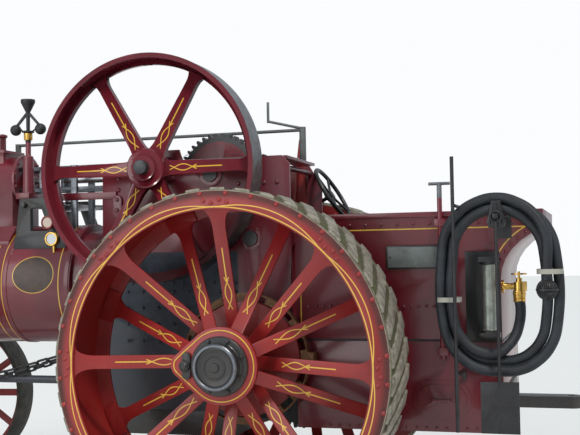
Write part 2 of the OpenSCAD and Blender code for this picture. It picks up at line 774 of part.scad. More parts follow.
// Rod with a strapped big end and a round small end
module connecting_rod() {
    color("silver") placed() difference() {
        union() {
            side_plate(-rod_y, rod_y) block2([pin_x - big_end[0], crank_z - big_end[2]],
                [pin_x + big_end[1], crank_z + big_end[2]]);
            side_plate(-14, 14) block2([pin_x + big_end[1] - 34, crank_z - big_end[2] - 20],
                [pin_x + big_end[1] - 12, crank_z + big_end[2] + 20]);
            bar_y(crosshead_x, crank_z, small_end_r, -rod_y, rod_y);
            translate([pin_x, 0, crank_z]) rotate([0, 90, 0]) cylinder(r1 = rod_r[0], r2 = rod_r[1], h = rod_len);
        }
        bar_y(pin_x, crank_z, crank_d / 2 + run_gap, -rod_y - 1, rod_y + 1);
        bar_y(crosshead_x, crank_z, 24, -rod_y - 1, rod_y + 1);
    }
}

// Strap in two halves round its sheave, with a rod forward to an eye
module eccentric_rod(e) {
    x = crank_x + eccentric_throw * cos(e[2]);
    z = crank_z + eccentric_throw * sin(e[2]);
    eye = [x + eccentric_len, crank_z + e[3]];
    color("silver") placed() difference() {
        union() {
            bar_y(x, z, strap_r, e[0], e[1]);
            side_plate(e[0], e[1]) block2([x - strap_lug[0], z - strap_r - strap_lug[1]],
                [x + strap_lug[0], z + strap_r + strap_lug[1]]);
            side_plate(e[0], e[1]) block2([x + strap_r - 22, z - 56], [x + strap_r + 14, z + 56]);
            side_plate(e[0] + 10, e[1] - 10) link_bar([x, z], 34, eye, 18);
            bar_y(eye.x, eye.y, 28, e[0], e[1]);
        }
        bar_y(x, z, eccentric_r + run_gap, e[0] - 1, e[1] + 1);
        bar_y(eye.x, eye.y, 13, e[0] - 1, e[1] + 1);
    }
}

module eccentric_rod_ahead() {
    eccentric_rod(ahead);
}

module eccentric_rod_astern() {
    eccentric_rod(astern);
}

module second_shaft() {
    color("dimgray") placed() {
        bar_y(second_x, second_z, shaft_d / 2, -third_gear_y[1] - 10, horn_y + 25);
        gear(second_x, second_z, second_module, second_n, 0, second_gear_y[0], second_gear_y[1]);
        gear(second_x, second_z, third_module, second_pinion_n, third_dir + 180 + 180 / second_pinion_n,
            -third_gear_y[1], -third_gear_y[0]);
    }
}

module third_shaft() {
    color("dimgray") placed() {
        bar_y(third_x, third_z, shaft_d / 2, -final_gear_y[1], horn_y + 15);
        gear(third_x, third_z, third_module, third_n, third_dir, -third_gear_y[1], -third_gear_y[0]);
        gear(third_x, third_z, final_module, final_pinion_n, final_dir + 180 + 180 / final_pinion_n,
            -final_gear_y[1], -final_gear_y[0]);
    }
}

module crosshead() {
    color("silver") placed() {
        for (s = [-1, 1]) on_left(s) {
            block([crosshead_x - 62, rod_y + pass_gap, crank_z - 55], [crosshead_x + 90, slide_y[0], crank_z + 55]);
            block([crosshead_x - 80, slide_y[0] - 1, crank_z - slide_z[0] + seat_gap],
                [crosshead_x + 80, slide_y[1] - 2, crank_z + slide_z[0] - seat_gap]);
            bar_y(crosshead_x, crank_z, 30, slide_y[1] - 3, slide_y[1] + 12);
        }
        block([crosshead_x + small_end_r + 14, -slide_y[0], crank_z - 50], [crosshead_x + 110, slide_y[0], crank_z + 50]);
        bar_x(0, crank_z, piston_rod_r, crosshead_x + 100, cylinder_x0 + 40);
    }
}

module slide_bars() {
    color("silver") placed() {
        for (s = [-1, 1]) {
            y0 = s > 0 ? slide_y[0] : -slide_y[1];
            for (z = [crank_z + slide_z[0], crank_z - slide_z[1]])
                block([slide_x0, y0, z], [cylinder_x0, y0 + slide_y[1] - slide_y[0], z + slide_z[1] - slide_z[0]]);
            difference() {
                block([slide_x0 + 200, s > 0 ? slide_y[1] : -slide_y[1] - 24, boiler_z],
                    [slide_x0 + 245, s > 0 ? slide_y[1] + 24 : -slide_y[1], crank_z + slide_z[1]]);
                barrel_space();
            }
        }
    }
}

// Cylinder with its end flanges, its seat on the barrel, valve chest, steam dome and safety valves
module cylinder_block() {
    flange_r = cylinder_r + 14;
    color("maroon") placed() difference() {
        union() {
            bar_x(0, crank_z, cylinder_r, cylinder_x0, cylinder_x1);
            for (x = [cylinder_x0, cylinder_x1 - 22]) bar_x(0, crank_z, flange_r, x, x + 22);
            turned_x(0, crank_z, [[0, cylinder_x1 - 1], [124, cylinder_x1 - 1], [116, cylinder_x1 + 12],
                [60, cylinder_x1 + 20], [0, cylinder_x1 + 22]]);
            for (i = [0:11], x = [cylinder_x0 - 12, cylinder_x1 - 1])
                bar_x((cylinder_r - 4) * sin(15 + 30 * i), crank_z + (cylinder_r - 4) * cos(15 + 30 * i), 9,
                    x, x + 13, $fn = 24);
            block([cylinder_x0 + 20, -cylinder_r, boiler_z + 250], [cylinder_x1 - 20, cylinder_r, crank_z]);
            translate([cylinder_x0 - 30, 0, boiler_z]) rotate([90, 0, 90])
                linear_extrude(height = cylinder_x1 - cylinder_x0 + 60) polygon([[-300, 255], [-300, 295], [-200, 400],
                    [200, 400], [300, 295], [300, 255]]);
            block([cylinder_x0 + 60, -330, crank_z - 130], [cylinder_x1 - 60, -100, crank_z + 110]);
            block([cylinder_x0 + 48, -342, crank_z - 142], [cylinder_x1 - 48, -329, crank_z + 122]);
            block([cylinder_x0 + 120, -120, crank_z + 100], [cylinder_x1 - 120, 120, crank_z + 205]);
            block([cylinder_x0 + 108, -132, crank_z + 195], [cylinder_x1 - 108, 132, crank_z + 215]);
            for (y = [-55, 55]) translate([cylinder_x0 + 240, y, crank_z]) rotate_extrude() polygon([[0, 214], [44, 214],
                [44, 226], [26, 232], [26, 320], [36, 328], [36, 342], [14, 350], [0, 350]]);
            turned_x(0, crank_z, [[0, cylinder_x0 - 50], [48, cylinder_x0 - 50], [48, cylinder_x0 - 26],
                [66, cylinder_x0 - 26], [66, cylinder_x0 - 12], [48, cylinder_x0 - 12], [48, cylinder_x0 + 1],
                [0, cylinder_x0 + 1]]);
            turned_x(valve_y, crank_z, [[0, cylinder_x0 + 12], [26, cylinder_x0 + 12], [26, cylinder_x0 + 30],
                [40, cylinder_x0 + 30], [40, cylinder_x0 + 44], [28, cylinder_x0 + 44], [28, cylinder_x0 + 61],
                [0, cylinder_x0 + 61]]);
        }
        bar_x(0, crank_z, piston_rod_r + run_gap, cylinder_x0 - 60, cylinder_x0 + 60);
        bar_x(valve_y, crank_z, valve_rod_r + run_gap, cylinder_x0, cylinder_x0 + 140);
        barrel_space();
    }
}

// Arched frames that stand on the boiler and carry the weigh shaft
module motion_bracket() {
    color("black") placed() {
        for (s = [-1, 1]) on_left(s) difference() {
            union() {
                side_plate(bracket_y[0], bracket_y[1]) difference() {
                    polygon([[bracket_x0, sill_z - 110], [bracket_x1, sill_z - 110], [bracket_x1, sill_z],
                        [bracket_x1 - 30, bracket_top], [bracket_x0 + 145, bracket_top], [bracket_x0 + 65, sill_z + 10]]);
                    polygon([[bracket_x0 + 145, sill_z], [bracket_x1 - 110, sill_z], [bracket_x1 - 110, bracket_top - 70],
                        [bracket_x0 + 205, bracket_top - 60]]);
                }
                block([bracket_x0 + 5, bracket_y[0], sill_z - 150], [bracket_x1 - 5, bracket_y[1] + 35, sill_z - 40]);
            }
            barrel_space();
        }
        bar_y(weigh_x, weigh_z, weigh_r, -bracket_y[1] - 40, bracket_y[1] + 40);
    }
}

// Slotted link between the eccentric rods, the rod to the valve, and the arms and rod that lift the link
module valve_gear() {
    link_r = norm([link_x - crank_x, ahead[3]]);
    tail_at = [link_x + 4, weigh_z - 8];
    clear_x = link_x + 2 * eccentric_throw + 20;
    lever_x = -40 - 60 * (reach_z - horn_top + 280) / 450;
    color("silver") placed() {
        side_plate(link_y[0], link_y[1]) {
            difference() {
                intersection() {
                    link_band(link_r, link_half_w);
                    block2([crank_x, crank_z - link_half_h], [crank_x + 2 * link_r, crank_z + link_half_h]);
                }
                intersection() {
                    link_band(link_r, link_slot[0]);
                    block2([crank_x, crank_z - link_slot[1]], [crank_x + 2 * link_r, crank_z + link_slot[1]]);
                }
                for (z = [ahead[3], astern[3]]) translate([link_x, crank_z + z]) circle(r = link_pin_r);
            }
            block2([crank_x + link_r - link_slot[0] - 2, crank_z - 10], [clear_x + 20, crank_z + 10]);
            arm(tail_at, 19, [link_x + 4, crank_z - link_half_h + 20], 15);
        }
        bar_x(valve_y, crank_z, valve_rod_r, clear_x, cylinder_x0 + 130);
        bar_y(tail_at.x, tail_at.y, 10, lift_y[0] - 3, link_y[1] + 2);
        difference() {
            side_plate(lift_y[0], lift_y[1]) arm([weigh_x, weigh_z], 36, tail_at, 17);
            bar_y(weigh_x, weigh_z, weigh_r + run_gap, lift_y[0] - 1, lift_y[1] + 1);
        }
        difference() {
            side_plate(reach_y - 9, reach_y + 9) arm([weigh_x, weigh_z], 36, [weigh_x - 20, reach_z], 18);
            bar_y(weigh_x, weigh_z, weigh_r + run_gap, reach_y - 10, reach_y + 10);
        }
        bar_x(reach_y, reach_z, 9, lever_x, weigh_x - 20);
        bar_y(lever_x, reach_z, 20, reach_y - 9 + seat_gap, reach_y + 9);
    }
}

// A band about the crankshaft, of radius r and half width w
module link_band(r, w) {
    translate([crank_x, crank_z]) difference() {
        circle(r = r + w, $fn = 192);
        circle(r = r - w, $fn = 192);
    }
}

module governor_stand() {
    color("maroon") placed() {
        block([governor_x - 50, governor_y - 45, bracket_top], [governor_x + 50, bracket_y[1], bracket_top + 40]);
        translate([governor_x, governor_y, bracket_top]) rotate_extrude()
            polygon([[0, 39], [40, 39], [34, 290], [18, 296], [18, governor_z - bracket_top],
                [0, governor_z - bracket_top]]);
    }
}

module governor_head() {
    color("black") placed() translate([governor_x, governor_y, 0]) {
        translate([0, 0, governor_z]) rotate_extrude() polygon([[0, seat_gap], [20, seat_gap], [12, 40], [14, 200],
            [48, 270], [48, 290], [0, 290]]);
        for (s = [-1, 1]) {
            translate([s * 95, 0, governor_z + 85]) rotate([90, 0, 0]) sphere(r = 38);
            side_plate(-7, 7) polygon([[s * 8, governor_z + 184], [s * 90, governor_z + 96], [s * 103, governor_z + 106],
                [s * 8, governor_z + 208]]);
        }
    }
}

module regulator_gear() {
    color("gray") placed() {
        bar_x(-200, rod_z, 11, -160, cylinder_x0 + 200);
        block([cylinder_x0 + 185, -215, crank_z + 110], [cylinder_x0 + 215, -185, rod_z + 10]);
        translate([-150, -200, horn_top]) cylinder(r = 22, h = rod_z + 20 - horn_top);
        bar([-150, -200, rod_z + 10], [90, -200, rod_z + 70], 9);
        translate([90, -200, rod_z + 60]) cylinder(r = 9, h = 140);
    }
}

module backhead_fittings() {
    color("goldenrod") placed() {
        bar_x(150, 1740, 60, firebox_x0 - 50, firebox_x0);
        bar_x(-150, 1680, 16, firebox_x0 - 60, firebox_x0);
        bar_x(-150, 1790, 16, firebox_x0 - 60, firebox_x0);
        translate([firebox_x0 - 48, -150, 1660]) cylinder(r = 11, h = 150);
    }
}

module reversing_gear() {
    color("firebrick") placed() {
        side_plate(-firebox_y, -firebox_y + 22) polygon([[-120, horn_top - 310], [40, horn_top - 310],
            [40, horn_top - 20], [-120, horn_top - 20]]);
        bar([-40, -firebox_y + 40, horn_top - 280], [-100, -firebox_y + 40, horn_top + 170], 11);
        bar_y(-40, horn_top - 280, 20, -firebox_y + 21, -firebox_y + 52);
    }
}

// Outline of a tender side, from the bottom edge up to the top edge
module tender_outline(z0) {
    polygon(concat([[tender_x0, z0], [tender_x1, z0]],
        [for (a = [0:sweep[2] / 6:sweep[2] + 1]) [tender_x1 - sweep[0] * (1 - cos(a)), sweep_z + sweep[1] * sin(a)]],
        [[tender_lip_x, tender_top], [tender_x0, tender_top]]));
}

// Side of the tender with the angle along its top edge
module tender_side() {
    color("maroon") placed() {
        side_plate(side_in_y, tender_y) tender_outline(footplate_z);
        side_plate(tender_y - 1, tender_y + bead_t) block2([tender_lip_x, tender_top - bead_h], [tender_x0, tender_top]);
    }
}

module tender_side_left() {
    tender_side();
}

module tender_side_right() {
    on_left(-1) tender_side();
}

// Curved back plate between the tender's sides
module tender_back() {
    color("maroon") placed() side_plate(-side_in_y, side_in_y) difference() {
        tender_outline(footplate_z);
        translate([plate_t, 0]) tender_outline(0);
        block2([bunker_x - 300, 0], [tender_x0 + 1, 3000]);
    }
}

// A rectangle between two corners
module block2(a, b) {
    translate(a) square(b - a);
}

// Water tank under the footplate, with a round lower corner at the back and a manhole lid on its left
module tender_tank() {
    color("maroon") placed() {
        side_plate(-tender_y, tender_y) {
            block2([tender_x1 + corner_r, tender_bottom], [tender_x0, footplate_z - plate_t]);
            block2([tender_x1, tender_bottom + corner_r], [tender_x0, footplate_z - plate_t]);
            translate([tender_x1 + corner_r, tender_bottom + corner_r]) circle(r = corner_r);
        }
        for (step = [[0, 8], [-26, 18]]) side_plate(tender_y - 1, tender_y + step[1]) translate(manhole_at) {
            for (x = [-manhole[1], manhole[1]]) translate([x, 0]) circle(r = manhole[0] + step[0]);
            square(2 * [manhole[1], manhole[0] + step[0]], center = true);
        }
        for (x = [-40, 40]) bar_y(manhole_at.x + x, manhole_at.y, 9, tender_y, tender_y + 44, $fn = 24);
        bar_x(tender_y + 36, manhole_at.y, 9, manhole_at.x - 52, manhole_at.x + 52, $fn = 24);
    }
}

// Floor of the footplate and the bunker, with the bunker's front wall
module footplate() {
    color("dimgray") placed() {
        block([tender_x1, -tender_y, footplate_z - plate_t], [tender_x0, tender_y, footplate_z]);
        block([tender_x0 - 1, -firebox_y, footplate_z - plate_t], [firebox_x0, firebox_y, footplate_z]);
        block([bunker_x - plate_t, -side_in_y, footplate_z - 1], [bunker_x, side_in_y, 1560]);
    }
}

module drawbar() {
    color("black") placed() difference() {
        union() {
            block([drawbar_x + 60, -60, tender_bottom + corner_r], [tender_x1, 60, tender_bottom + corner_r + 70]);
            translate([drawbar_x + 60, 0, tender_bottom + corner_r]) cylinder(r = 60, h = 70);
            block([tender_x1 - 16, -180, tender_bottom + corner_r - 40], [tender_x1, 180, tender_bottom + corner_r + 160]);
        }
        translate([drawbar_x + 60, 0, tender_bottom]) cylinder(r = drawbar_pin_r, h = 300);
    }
}

module brake_column() {
    y = tender_y + 50;
    color("maroon") placed() {
        translate([-1170, y, 1000]) cylinder(r = 14, h = 990);
        bar([-1230, y, 1985], [-1110, y, 1985], 9);
        for (z = [1020, 1745]) block([-1200, tender_y, z], [-1140, y + 14, z + 40]);
    }
}

// Guide roller with a flange at each end, between two brackets on a plate
module rope_guide() {
    color("black") placed() {
        block([-1490, tender_y, 1100], [-1300, tender_y + 12, 1600]);
        for (z = [1120, 1540]) block([-1490, tender_y, z], [-1380, tender_y + 110, z + 30]);
        translate([-1435, tender_y + 62, 0]) rotate_extrude() polygon([[0, 1149], [46, 1149], [46, 1162], [38, 1168],
            [38, 1522], [46, 1528], [46, 1541], [0, 1541]]);
    }
}

module hose_hook() {
    color("black") placed() {
        block([-1560, tender_y, 1670], [-1480, tender_y + 14, tender_top - bead_h - 6]);
        block([coil_x - hook_w / 2, tender_y, hook_top - 26], [coil_x + hook_w / 2, coil_y1 + 70, hook_top]);
        for (rest = [[930, tender_y], [1842, tender_y + bead_t]]) {
            block([-1290, rest[1], rest[0] - 50], [-1270, rest[1] + 12, rest[0] + 14]);
            block([-1290, rest[1], rest[0]], [-1270, iron_y - 10 - seat_gap, rest[0] + 14]);
        }
    }
}

// Long loop with round ends
module coil_outline(r) {
    for (z = [-coil_bend_z, coil_bend_z]) translate([0, z]) circle(r = r);
    square([2 * r, 2 * coil_bend_z], center = true);
}

// One closed ring of the outer shape of the coil
module hose_coil() {
    color("darkslategray") placed() translate([coil_x, 0, coil_z]) side_plate(coil_y0, coil_y1) difference() {
        coil_outline(coil_half_x);
        coil_outline(coil_in_r);
    }
}

module hose_strainer() {
    color("black") placed() translate([-1760, coil_y1 + 57 + seat_gap, 1394]) sphere(r = 57);
}

// Valve on a pipe from the tender's back, which the hose leaves downward
module hose_valve() {
    color("goldenrod") placed() {
        bar_x(460, valve_at.z, 36, tender_x1 - 12, tender_x1);
        bar_x(460, valve_at.z, pipe_r, valve_at.x + 20, tender_x1 - 11);
        translate([valve_at.x, 460, valve_at.z - 26]) cylinder(r = 32, h = 52);
        bar_y(valve_at.x, valve_at.z, pipe_r, 480, valve_at.y - 7);
        // Radius, foot and top of each step of the body, with its neck, stem and handwheel
        for (s = [[34, 0, 14], [28, 13, 60], [16, 59, 82], [7, 81, 118], [42, 100, 108]])
            translate([valve_at.x, valve_at.y, valve_z0 + s[1]]) cylinder(r = s[0], h = s[2] - s[1]);
    }
}

function unit(v) = v / norm(v);
// Direction of the hose at point i of its way, and the points of its skin there
function way(i) = unit(tail[min(i + 1, len(tail) - 1)] - tail[max(i - 1, 0)]);
function across(i) = unit(cross(way(i), [0, 1, 0]));
function skin(i) = [for (k = [0:tail_sides - 1]) tail[i] + hose_d / 2
    * (cos(360 * k / tail_sides) * across(i) + sin(360 * k / tail_sides) * cross(way(i), across(i)))];

// The stretch of hose from the valve into the coil
module hose_tail() {
    n = tail_sides;
    last = len(tail) - 1;
    color("darkslategray") placed() polyhedron(
        points = [for (i = [0:last]) each skin(i)],
        faces = concat([[for (k = [0:n - 1]) k]], [for (i = [1:last], k = [0:n - 1])
            [(i - 1) * n + k, i * n + k, i * n + (k + 1) % n, (i - 1) * n + (k + 1) % n]],
            [[for (k = [n - 1:-1:0]) last * n + k]]));
}

module fire_irons() {
    color("dimgray") placed() {
        bar([-1280, iron_y, 640], [-1280, iron_y, 2110], 10);
        bar([coil_x, iron_y, 900], [coil_x, iron_y, iron_ring_z - iron_ring_r - 6], 9);
        translate([coil_x, iron_y, iron_ring_z]) rotate([90, 0, 0]) rotate_extrude()
            translate([iron_ring_r + 6, 0]) circle(r = 6);
        block([coil_x - 100, iron_y - 7, 640], [coil_x + 100, iron_y + 7, 910]);
    }
}

module steering_column() {
    color("black") placed() {
        difference() {
            block([worm_at.x - 70, worm_at.y - 30, steer_z - 70], [worm_at.x + 70, worm_at.y + 40, worm_at.z + 40]);
            bar(wheel_at, worm_at, 13 + run_gap);
        }
        difference() {
            block([-215, wheel_at.y - 22, 1900], [-175, -horn_y, 1990]);
            bar(wheel_at, worm_at, 13 + run_gap);
        }
        bar_y(steer_barrel_x, steer_z, 28, worm_at.y, 400);
        bar_y(steer_barrel_x, steer_z, steer_barrel_r, -300, 300);
        for (s = [-1, 1])
            block([firebox_x1, s * 330 - 15, steer_z - 50], [steer_barrel_x + 40, s * 330 + 15, steer_z + 50]);
    }
}

// The wheel turns with its long shaft down to the worm
module steering_wheel() {
    d = (worm_at - wheel_at) / norm(worm_at - wheel_at);
    color("black") placed() {
        bar(wheel_at, worm_at - 60 * d, 13);
        translate(wheel_at) rotate([0, acos(d.z), atan2(d.y, d.x)]) {
            rotate_extrude() translate([steer_wheel_r, 0]) circle(r = 14, $fn = 24);
            cylinder(r = 34, h = 50);
            for (i = [0:3]) rotate([0, 0, 45 + 90 * i]) bar([20, 0, 15], [steer_wheel_r, 0, 0], 9);
        }
    }
}

// Chains from the barrel under the boiler to the ends of the front axle
module steering_chains() {
    color("black") placed() for (s = [-1, 1])
        bar([steer_barrel_x + steer_barrel_r + 4, s * chain_y0, steer_z], [wheelbase - 51, s * chain_y1, front_r],
            chain_r);
}

module feed_pipe() {
    color("darkslategray") placed() difference() {
        union() {
            bar_x(180, 790, 26, firebox_x1, 2200);
            translate([2200, 180, 790]) sphere(r = 26);
            translate([2200, 180, 790]) cylinder(r = 26, h = 320);
        }
        barrel_space();
    }
}

boiler_barrel();
smokebox();
smokebox_door();
chimney();
firebox();
ashpan();
firehole_door();
hornplate_left();
hornplate_right();
cylinder_block();
motion_bracket();
slide_bars();
crosshead();
governor_stand();
governor_head();
crankshaft();
flywheel();
connecting_rod();
eccentric_rod_ahead();
eccentric_rod_astern();
second_shaft();
third_shaft();
rear_axle();
rear_rim_left();
rear_spokes_left();
rear_cap_left();
brake_drum();
rear_rim_right();
rear_spokes_right();
rear_cap_right();
brake_band();
brake_column();
tender_side_left();
tender_side_right();
tender_back();
tender_tank();
footplate();
drawbar();
rope_guide();
hose_hook();
hose_coil();
hose_strainer();
fire_irons();
regulator_gear();
backhead_fittings();
reversing_gear();
steering_column();
steering_wheel();
steering_chains();
perch_bracket();
front_axle();
front_wheel_left();
front_wheel_right();
feed_pipe();
valve_gear();
hose_valve();
hose_tail();
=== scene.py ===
"""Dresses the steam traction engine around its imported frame.

Each sub-assembly is a class that holds its sizes and builds its own pieces. All lengths are in metres, with +X
forward along the boiler, +Y to the engine's left and +Z up.
"""

from __future__ import annotations

import json
import logging
import math
from contextlib import contextmanager
from dataclasses import dataclass
from enum import Enum
from typing import Any, Callable, Iterable, Iterator, Sequence

import bpy
from mathutils import Matrix, Vector
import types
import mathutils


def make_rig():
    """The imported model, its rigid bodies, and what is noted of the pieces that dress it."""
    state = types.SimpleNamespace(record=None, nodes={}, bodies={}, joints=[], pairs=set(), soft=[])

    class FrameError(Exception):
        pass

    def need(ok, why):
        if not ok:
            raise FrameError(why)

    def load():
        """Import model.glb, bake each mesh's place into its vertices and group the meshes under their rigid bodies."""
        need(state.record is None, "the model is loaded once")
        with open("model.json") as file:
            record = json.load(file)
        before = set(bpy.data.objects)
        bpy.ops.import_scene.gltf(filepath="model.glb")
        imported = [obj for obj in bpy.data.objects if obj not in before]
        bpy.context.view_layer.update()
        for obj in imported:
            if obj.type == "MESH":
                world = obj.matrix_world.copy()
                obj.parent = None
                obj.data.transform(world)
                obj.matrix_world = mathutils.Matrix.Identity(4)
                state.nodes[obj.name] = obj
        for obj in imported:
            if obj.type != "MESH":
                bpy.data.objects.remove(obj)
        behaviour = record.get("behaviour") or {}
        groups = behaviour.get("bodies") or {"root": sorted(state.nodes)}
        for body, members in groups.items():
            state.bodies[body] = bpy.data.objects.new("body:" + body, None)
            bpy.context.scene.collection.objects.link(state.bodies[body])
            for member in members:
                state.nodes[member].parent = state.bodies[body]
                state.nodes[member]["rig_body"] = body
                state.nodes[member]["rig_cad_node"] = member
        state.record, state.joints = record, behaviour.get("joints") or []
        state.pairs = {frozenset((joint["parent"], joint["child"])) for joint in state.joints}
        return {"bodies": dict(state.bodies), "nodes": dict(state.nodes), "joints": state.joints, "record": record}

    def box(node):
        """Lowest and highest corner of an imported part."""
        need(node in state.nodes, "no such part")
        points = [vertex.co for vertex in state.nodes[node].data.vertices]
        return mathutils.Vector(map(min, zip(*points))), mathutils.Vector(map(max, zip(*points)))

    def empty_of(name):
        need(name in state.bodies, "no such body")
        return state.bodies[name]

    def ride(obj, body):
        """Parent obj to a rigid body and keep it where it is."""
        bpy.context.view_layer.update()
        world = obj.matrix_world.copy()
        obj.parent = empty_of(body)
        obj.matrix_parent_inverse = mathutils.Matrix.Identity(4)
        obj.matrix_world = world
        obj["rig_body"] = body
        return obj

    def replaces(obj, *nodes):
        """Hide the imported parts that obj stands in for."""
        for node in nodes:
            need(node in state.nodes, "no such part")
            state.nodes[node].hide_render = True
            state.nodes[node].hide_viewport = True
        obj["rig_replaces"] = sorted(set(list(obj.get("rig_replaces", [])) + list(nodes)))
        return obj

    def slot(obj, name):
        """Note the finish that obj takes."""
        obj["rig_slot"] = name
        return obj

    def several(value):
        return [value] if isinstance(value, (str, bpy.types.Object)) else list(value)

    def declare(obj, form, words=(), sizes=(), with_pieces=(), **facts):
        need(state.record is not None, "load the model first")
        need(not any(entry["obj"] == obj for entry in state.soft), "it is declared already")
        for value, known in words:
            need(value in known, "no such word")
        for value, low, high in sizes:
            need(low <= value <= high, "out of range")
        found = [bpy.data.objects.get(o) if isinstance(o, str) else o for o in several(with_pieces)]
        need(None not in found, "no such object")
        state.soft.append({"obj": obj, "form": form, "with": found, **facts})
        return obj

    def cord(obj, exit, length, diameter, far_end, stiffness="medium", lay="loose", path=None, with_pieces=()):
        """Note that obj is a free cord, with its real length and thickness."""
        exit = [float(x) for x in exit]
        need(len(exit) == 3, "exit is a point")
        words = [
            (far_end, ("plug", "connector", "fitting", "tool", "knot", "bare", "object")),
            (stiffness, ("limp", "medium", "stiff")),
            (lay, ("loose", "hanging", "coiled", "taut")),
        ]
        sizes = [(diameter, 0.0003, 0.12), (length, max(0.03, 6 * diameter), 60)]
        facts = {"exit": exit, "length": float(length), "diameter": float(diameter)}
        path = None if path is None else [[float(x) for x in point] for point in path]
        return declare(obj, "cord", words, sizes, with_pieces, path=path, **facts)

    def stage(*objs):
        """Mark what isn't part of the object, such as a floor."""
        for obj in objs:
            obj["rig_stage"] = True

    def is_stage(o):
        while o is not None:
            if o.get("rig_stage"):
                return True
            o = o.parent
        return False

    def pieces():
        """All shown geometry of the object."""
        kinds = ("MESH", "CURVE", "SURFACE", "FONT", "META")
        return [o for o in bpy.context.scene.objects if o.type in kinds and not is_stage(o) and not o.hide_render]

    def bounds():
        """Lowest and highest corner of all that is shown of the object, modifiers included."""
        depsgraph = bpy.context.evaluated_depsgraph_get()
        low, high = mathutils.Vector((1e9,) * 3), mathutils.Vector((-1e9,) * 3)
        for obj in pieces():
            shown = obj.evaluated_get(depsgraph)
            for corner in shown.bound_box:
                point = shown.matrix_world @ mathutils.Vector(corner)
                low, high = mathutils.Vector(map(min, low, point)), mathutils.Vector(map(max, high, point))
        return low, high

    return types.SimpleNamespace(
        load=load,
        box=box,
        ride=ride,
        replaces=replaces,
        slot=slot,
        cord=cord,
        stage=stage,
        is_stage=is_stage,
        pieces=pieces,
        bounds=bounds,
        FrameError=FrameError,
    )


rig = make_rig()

Point = tuple[float, float, float]
Flat = tuple[float, float]
Colour = tuple[float, float, float]
Spot = tuple[Point, Point]

LOG = logging.getLogger("traction_engine")

# Centre lines across the engine, in the part's frame: rear axle, crankshaft, second shaft, front wheels, hose coil
AXLE_X, AXLE_Z = -0.760, 0.990
CRANK_X, CRANK_Z = AXLE_X + 0.637, 2.150
SECOND_X, SECOND_Z = AXLE_X + 0.280, 2.110
FRONT_X, FRONT_Z = AXLE_X + 2.850, 0.570
COIL_X, COIL_Z = AXLE_X - 1.505, 1.400

LINING_YELLOW = 0xD6AC3E

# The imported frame, once it is loaded
FRAME: dict[str, Any] = {}


def linear(colour: int, share: float = 1.0) -> Colour:
    """Turns a colour as seen on a screen into the linear one that a shader takes.

    Args:
        colour: The colour, written 0xRRGGBB.
        share: How bright the result is against it.

    Returns:
        The linear colour.
    """
    parts = [value / 255 for value in colour.to_bytes(3, "big")]
    return tuple(share * (part / 12.92 if part <= 0.04045 else ((part + 0.055) / 1.055) ** 2.4) for part in parts)


def reckoned(operation: str, swapped: bool = False) -> Callable[..., "Wire"]:
    """Makes a method that adds one Math node.

    Args:
        operation: The node's operation.
        swapped: Whether the wire itself is its last input.

    Returns:
        The method, which takes the other inputs.
    """
    def method(self: "Wire", *others: Any) -> "Wire":
        """Returns the node's result."""
        values = (*others, self) if swapped else (self, *others)
        return self.recipe.node("ShaderNodeMath", {"operation": operation}, dict(enumerate(values)))

    return method


class Wire:
    """A shader socket that can be reckoned with like a number."""

    def __init__(self, recipe: "Recipe", socket: bpy.types.NodeSocket) -> None:
        """Keeps the socket and the recipe that it belongs to."""
        self.recipe = recipe
        self.socket = socket

    # The signs and functions that a wire takes part in, each as one Math node
    __add__ = __radd__ = reckoned("ADD")
    __sub__, __rsub__ = reckoned("SUBTRACT"), reckoned("SUBTRACT", swapped=True)
    __mul__ = __rmul__ = reckoned("MULTIPLY")
    __truediv__ = reckoned("DIVIDE")
    __lt__, __gt__ = reckoned("LESS_THAN"), reckoned("GREATER_THAN")
    __abs__ = reckoned("ABSOLUTE")
    sine, root = reckoned("SINE"), reckoned("SQRT")
    most, angle_from = reckoned("MAXIMUM"), reckoned("ARCTAN2")

    def held(self) -> "Wire":
        """Returns the same socket with its node's clamp switched on."""
        self.socket.node.use_clamp = True
        return self

    def folded(self, period: float) -> "Wire":
        """Returns self wrapped to plus or minus half a period about 0."""
        return reckoned("WRAP")(self, period / 2, -period / 2)

    def rise(self, low: float, high: float) -> "Wire":
        """Returns 0 below low and 1 above high, and a straight slope between them."""
        return ((self - low) / (high - low)).held()

    def band(self, middle: Any, width: float) -> "Wire":
        """Returns 1 in a line of that width about middle, with soft edges."""
        return (1.0 - abs(self - middle) / (width / 2)).rise(0.0, 0.35)


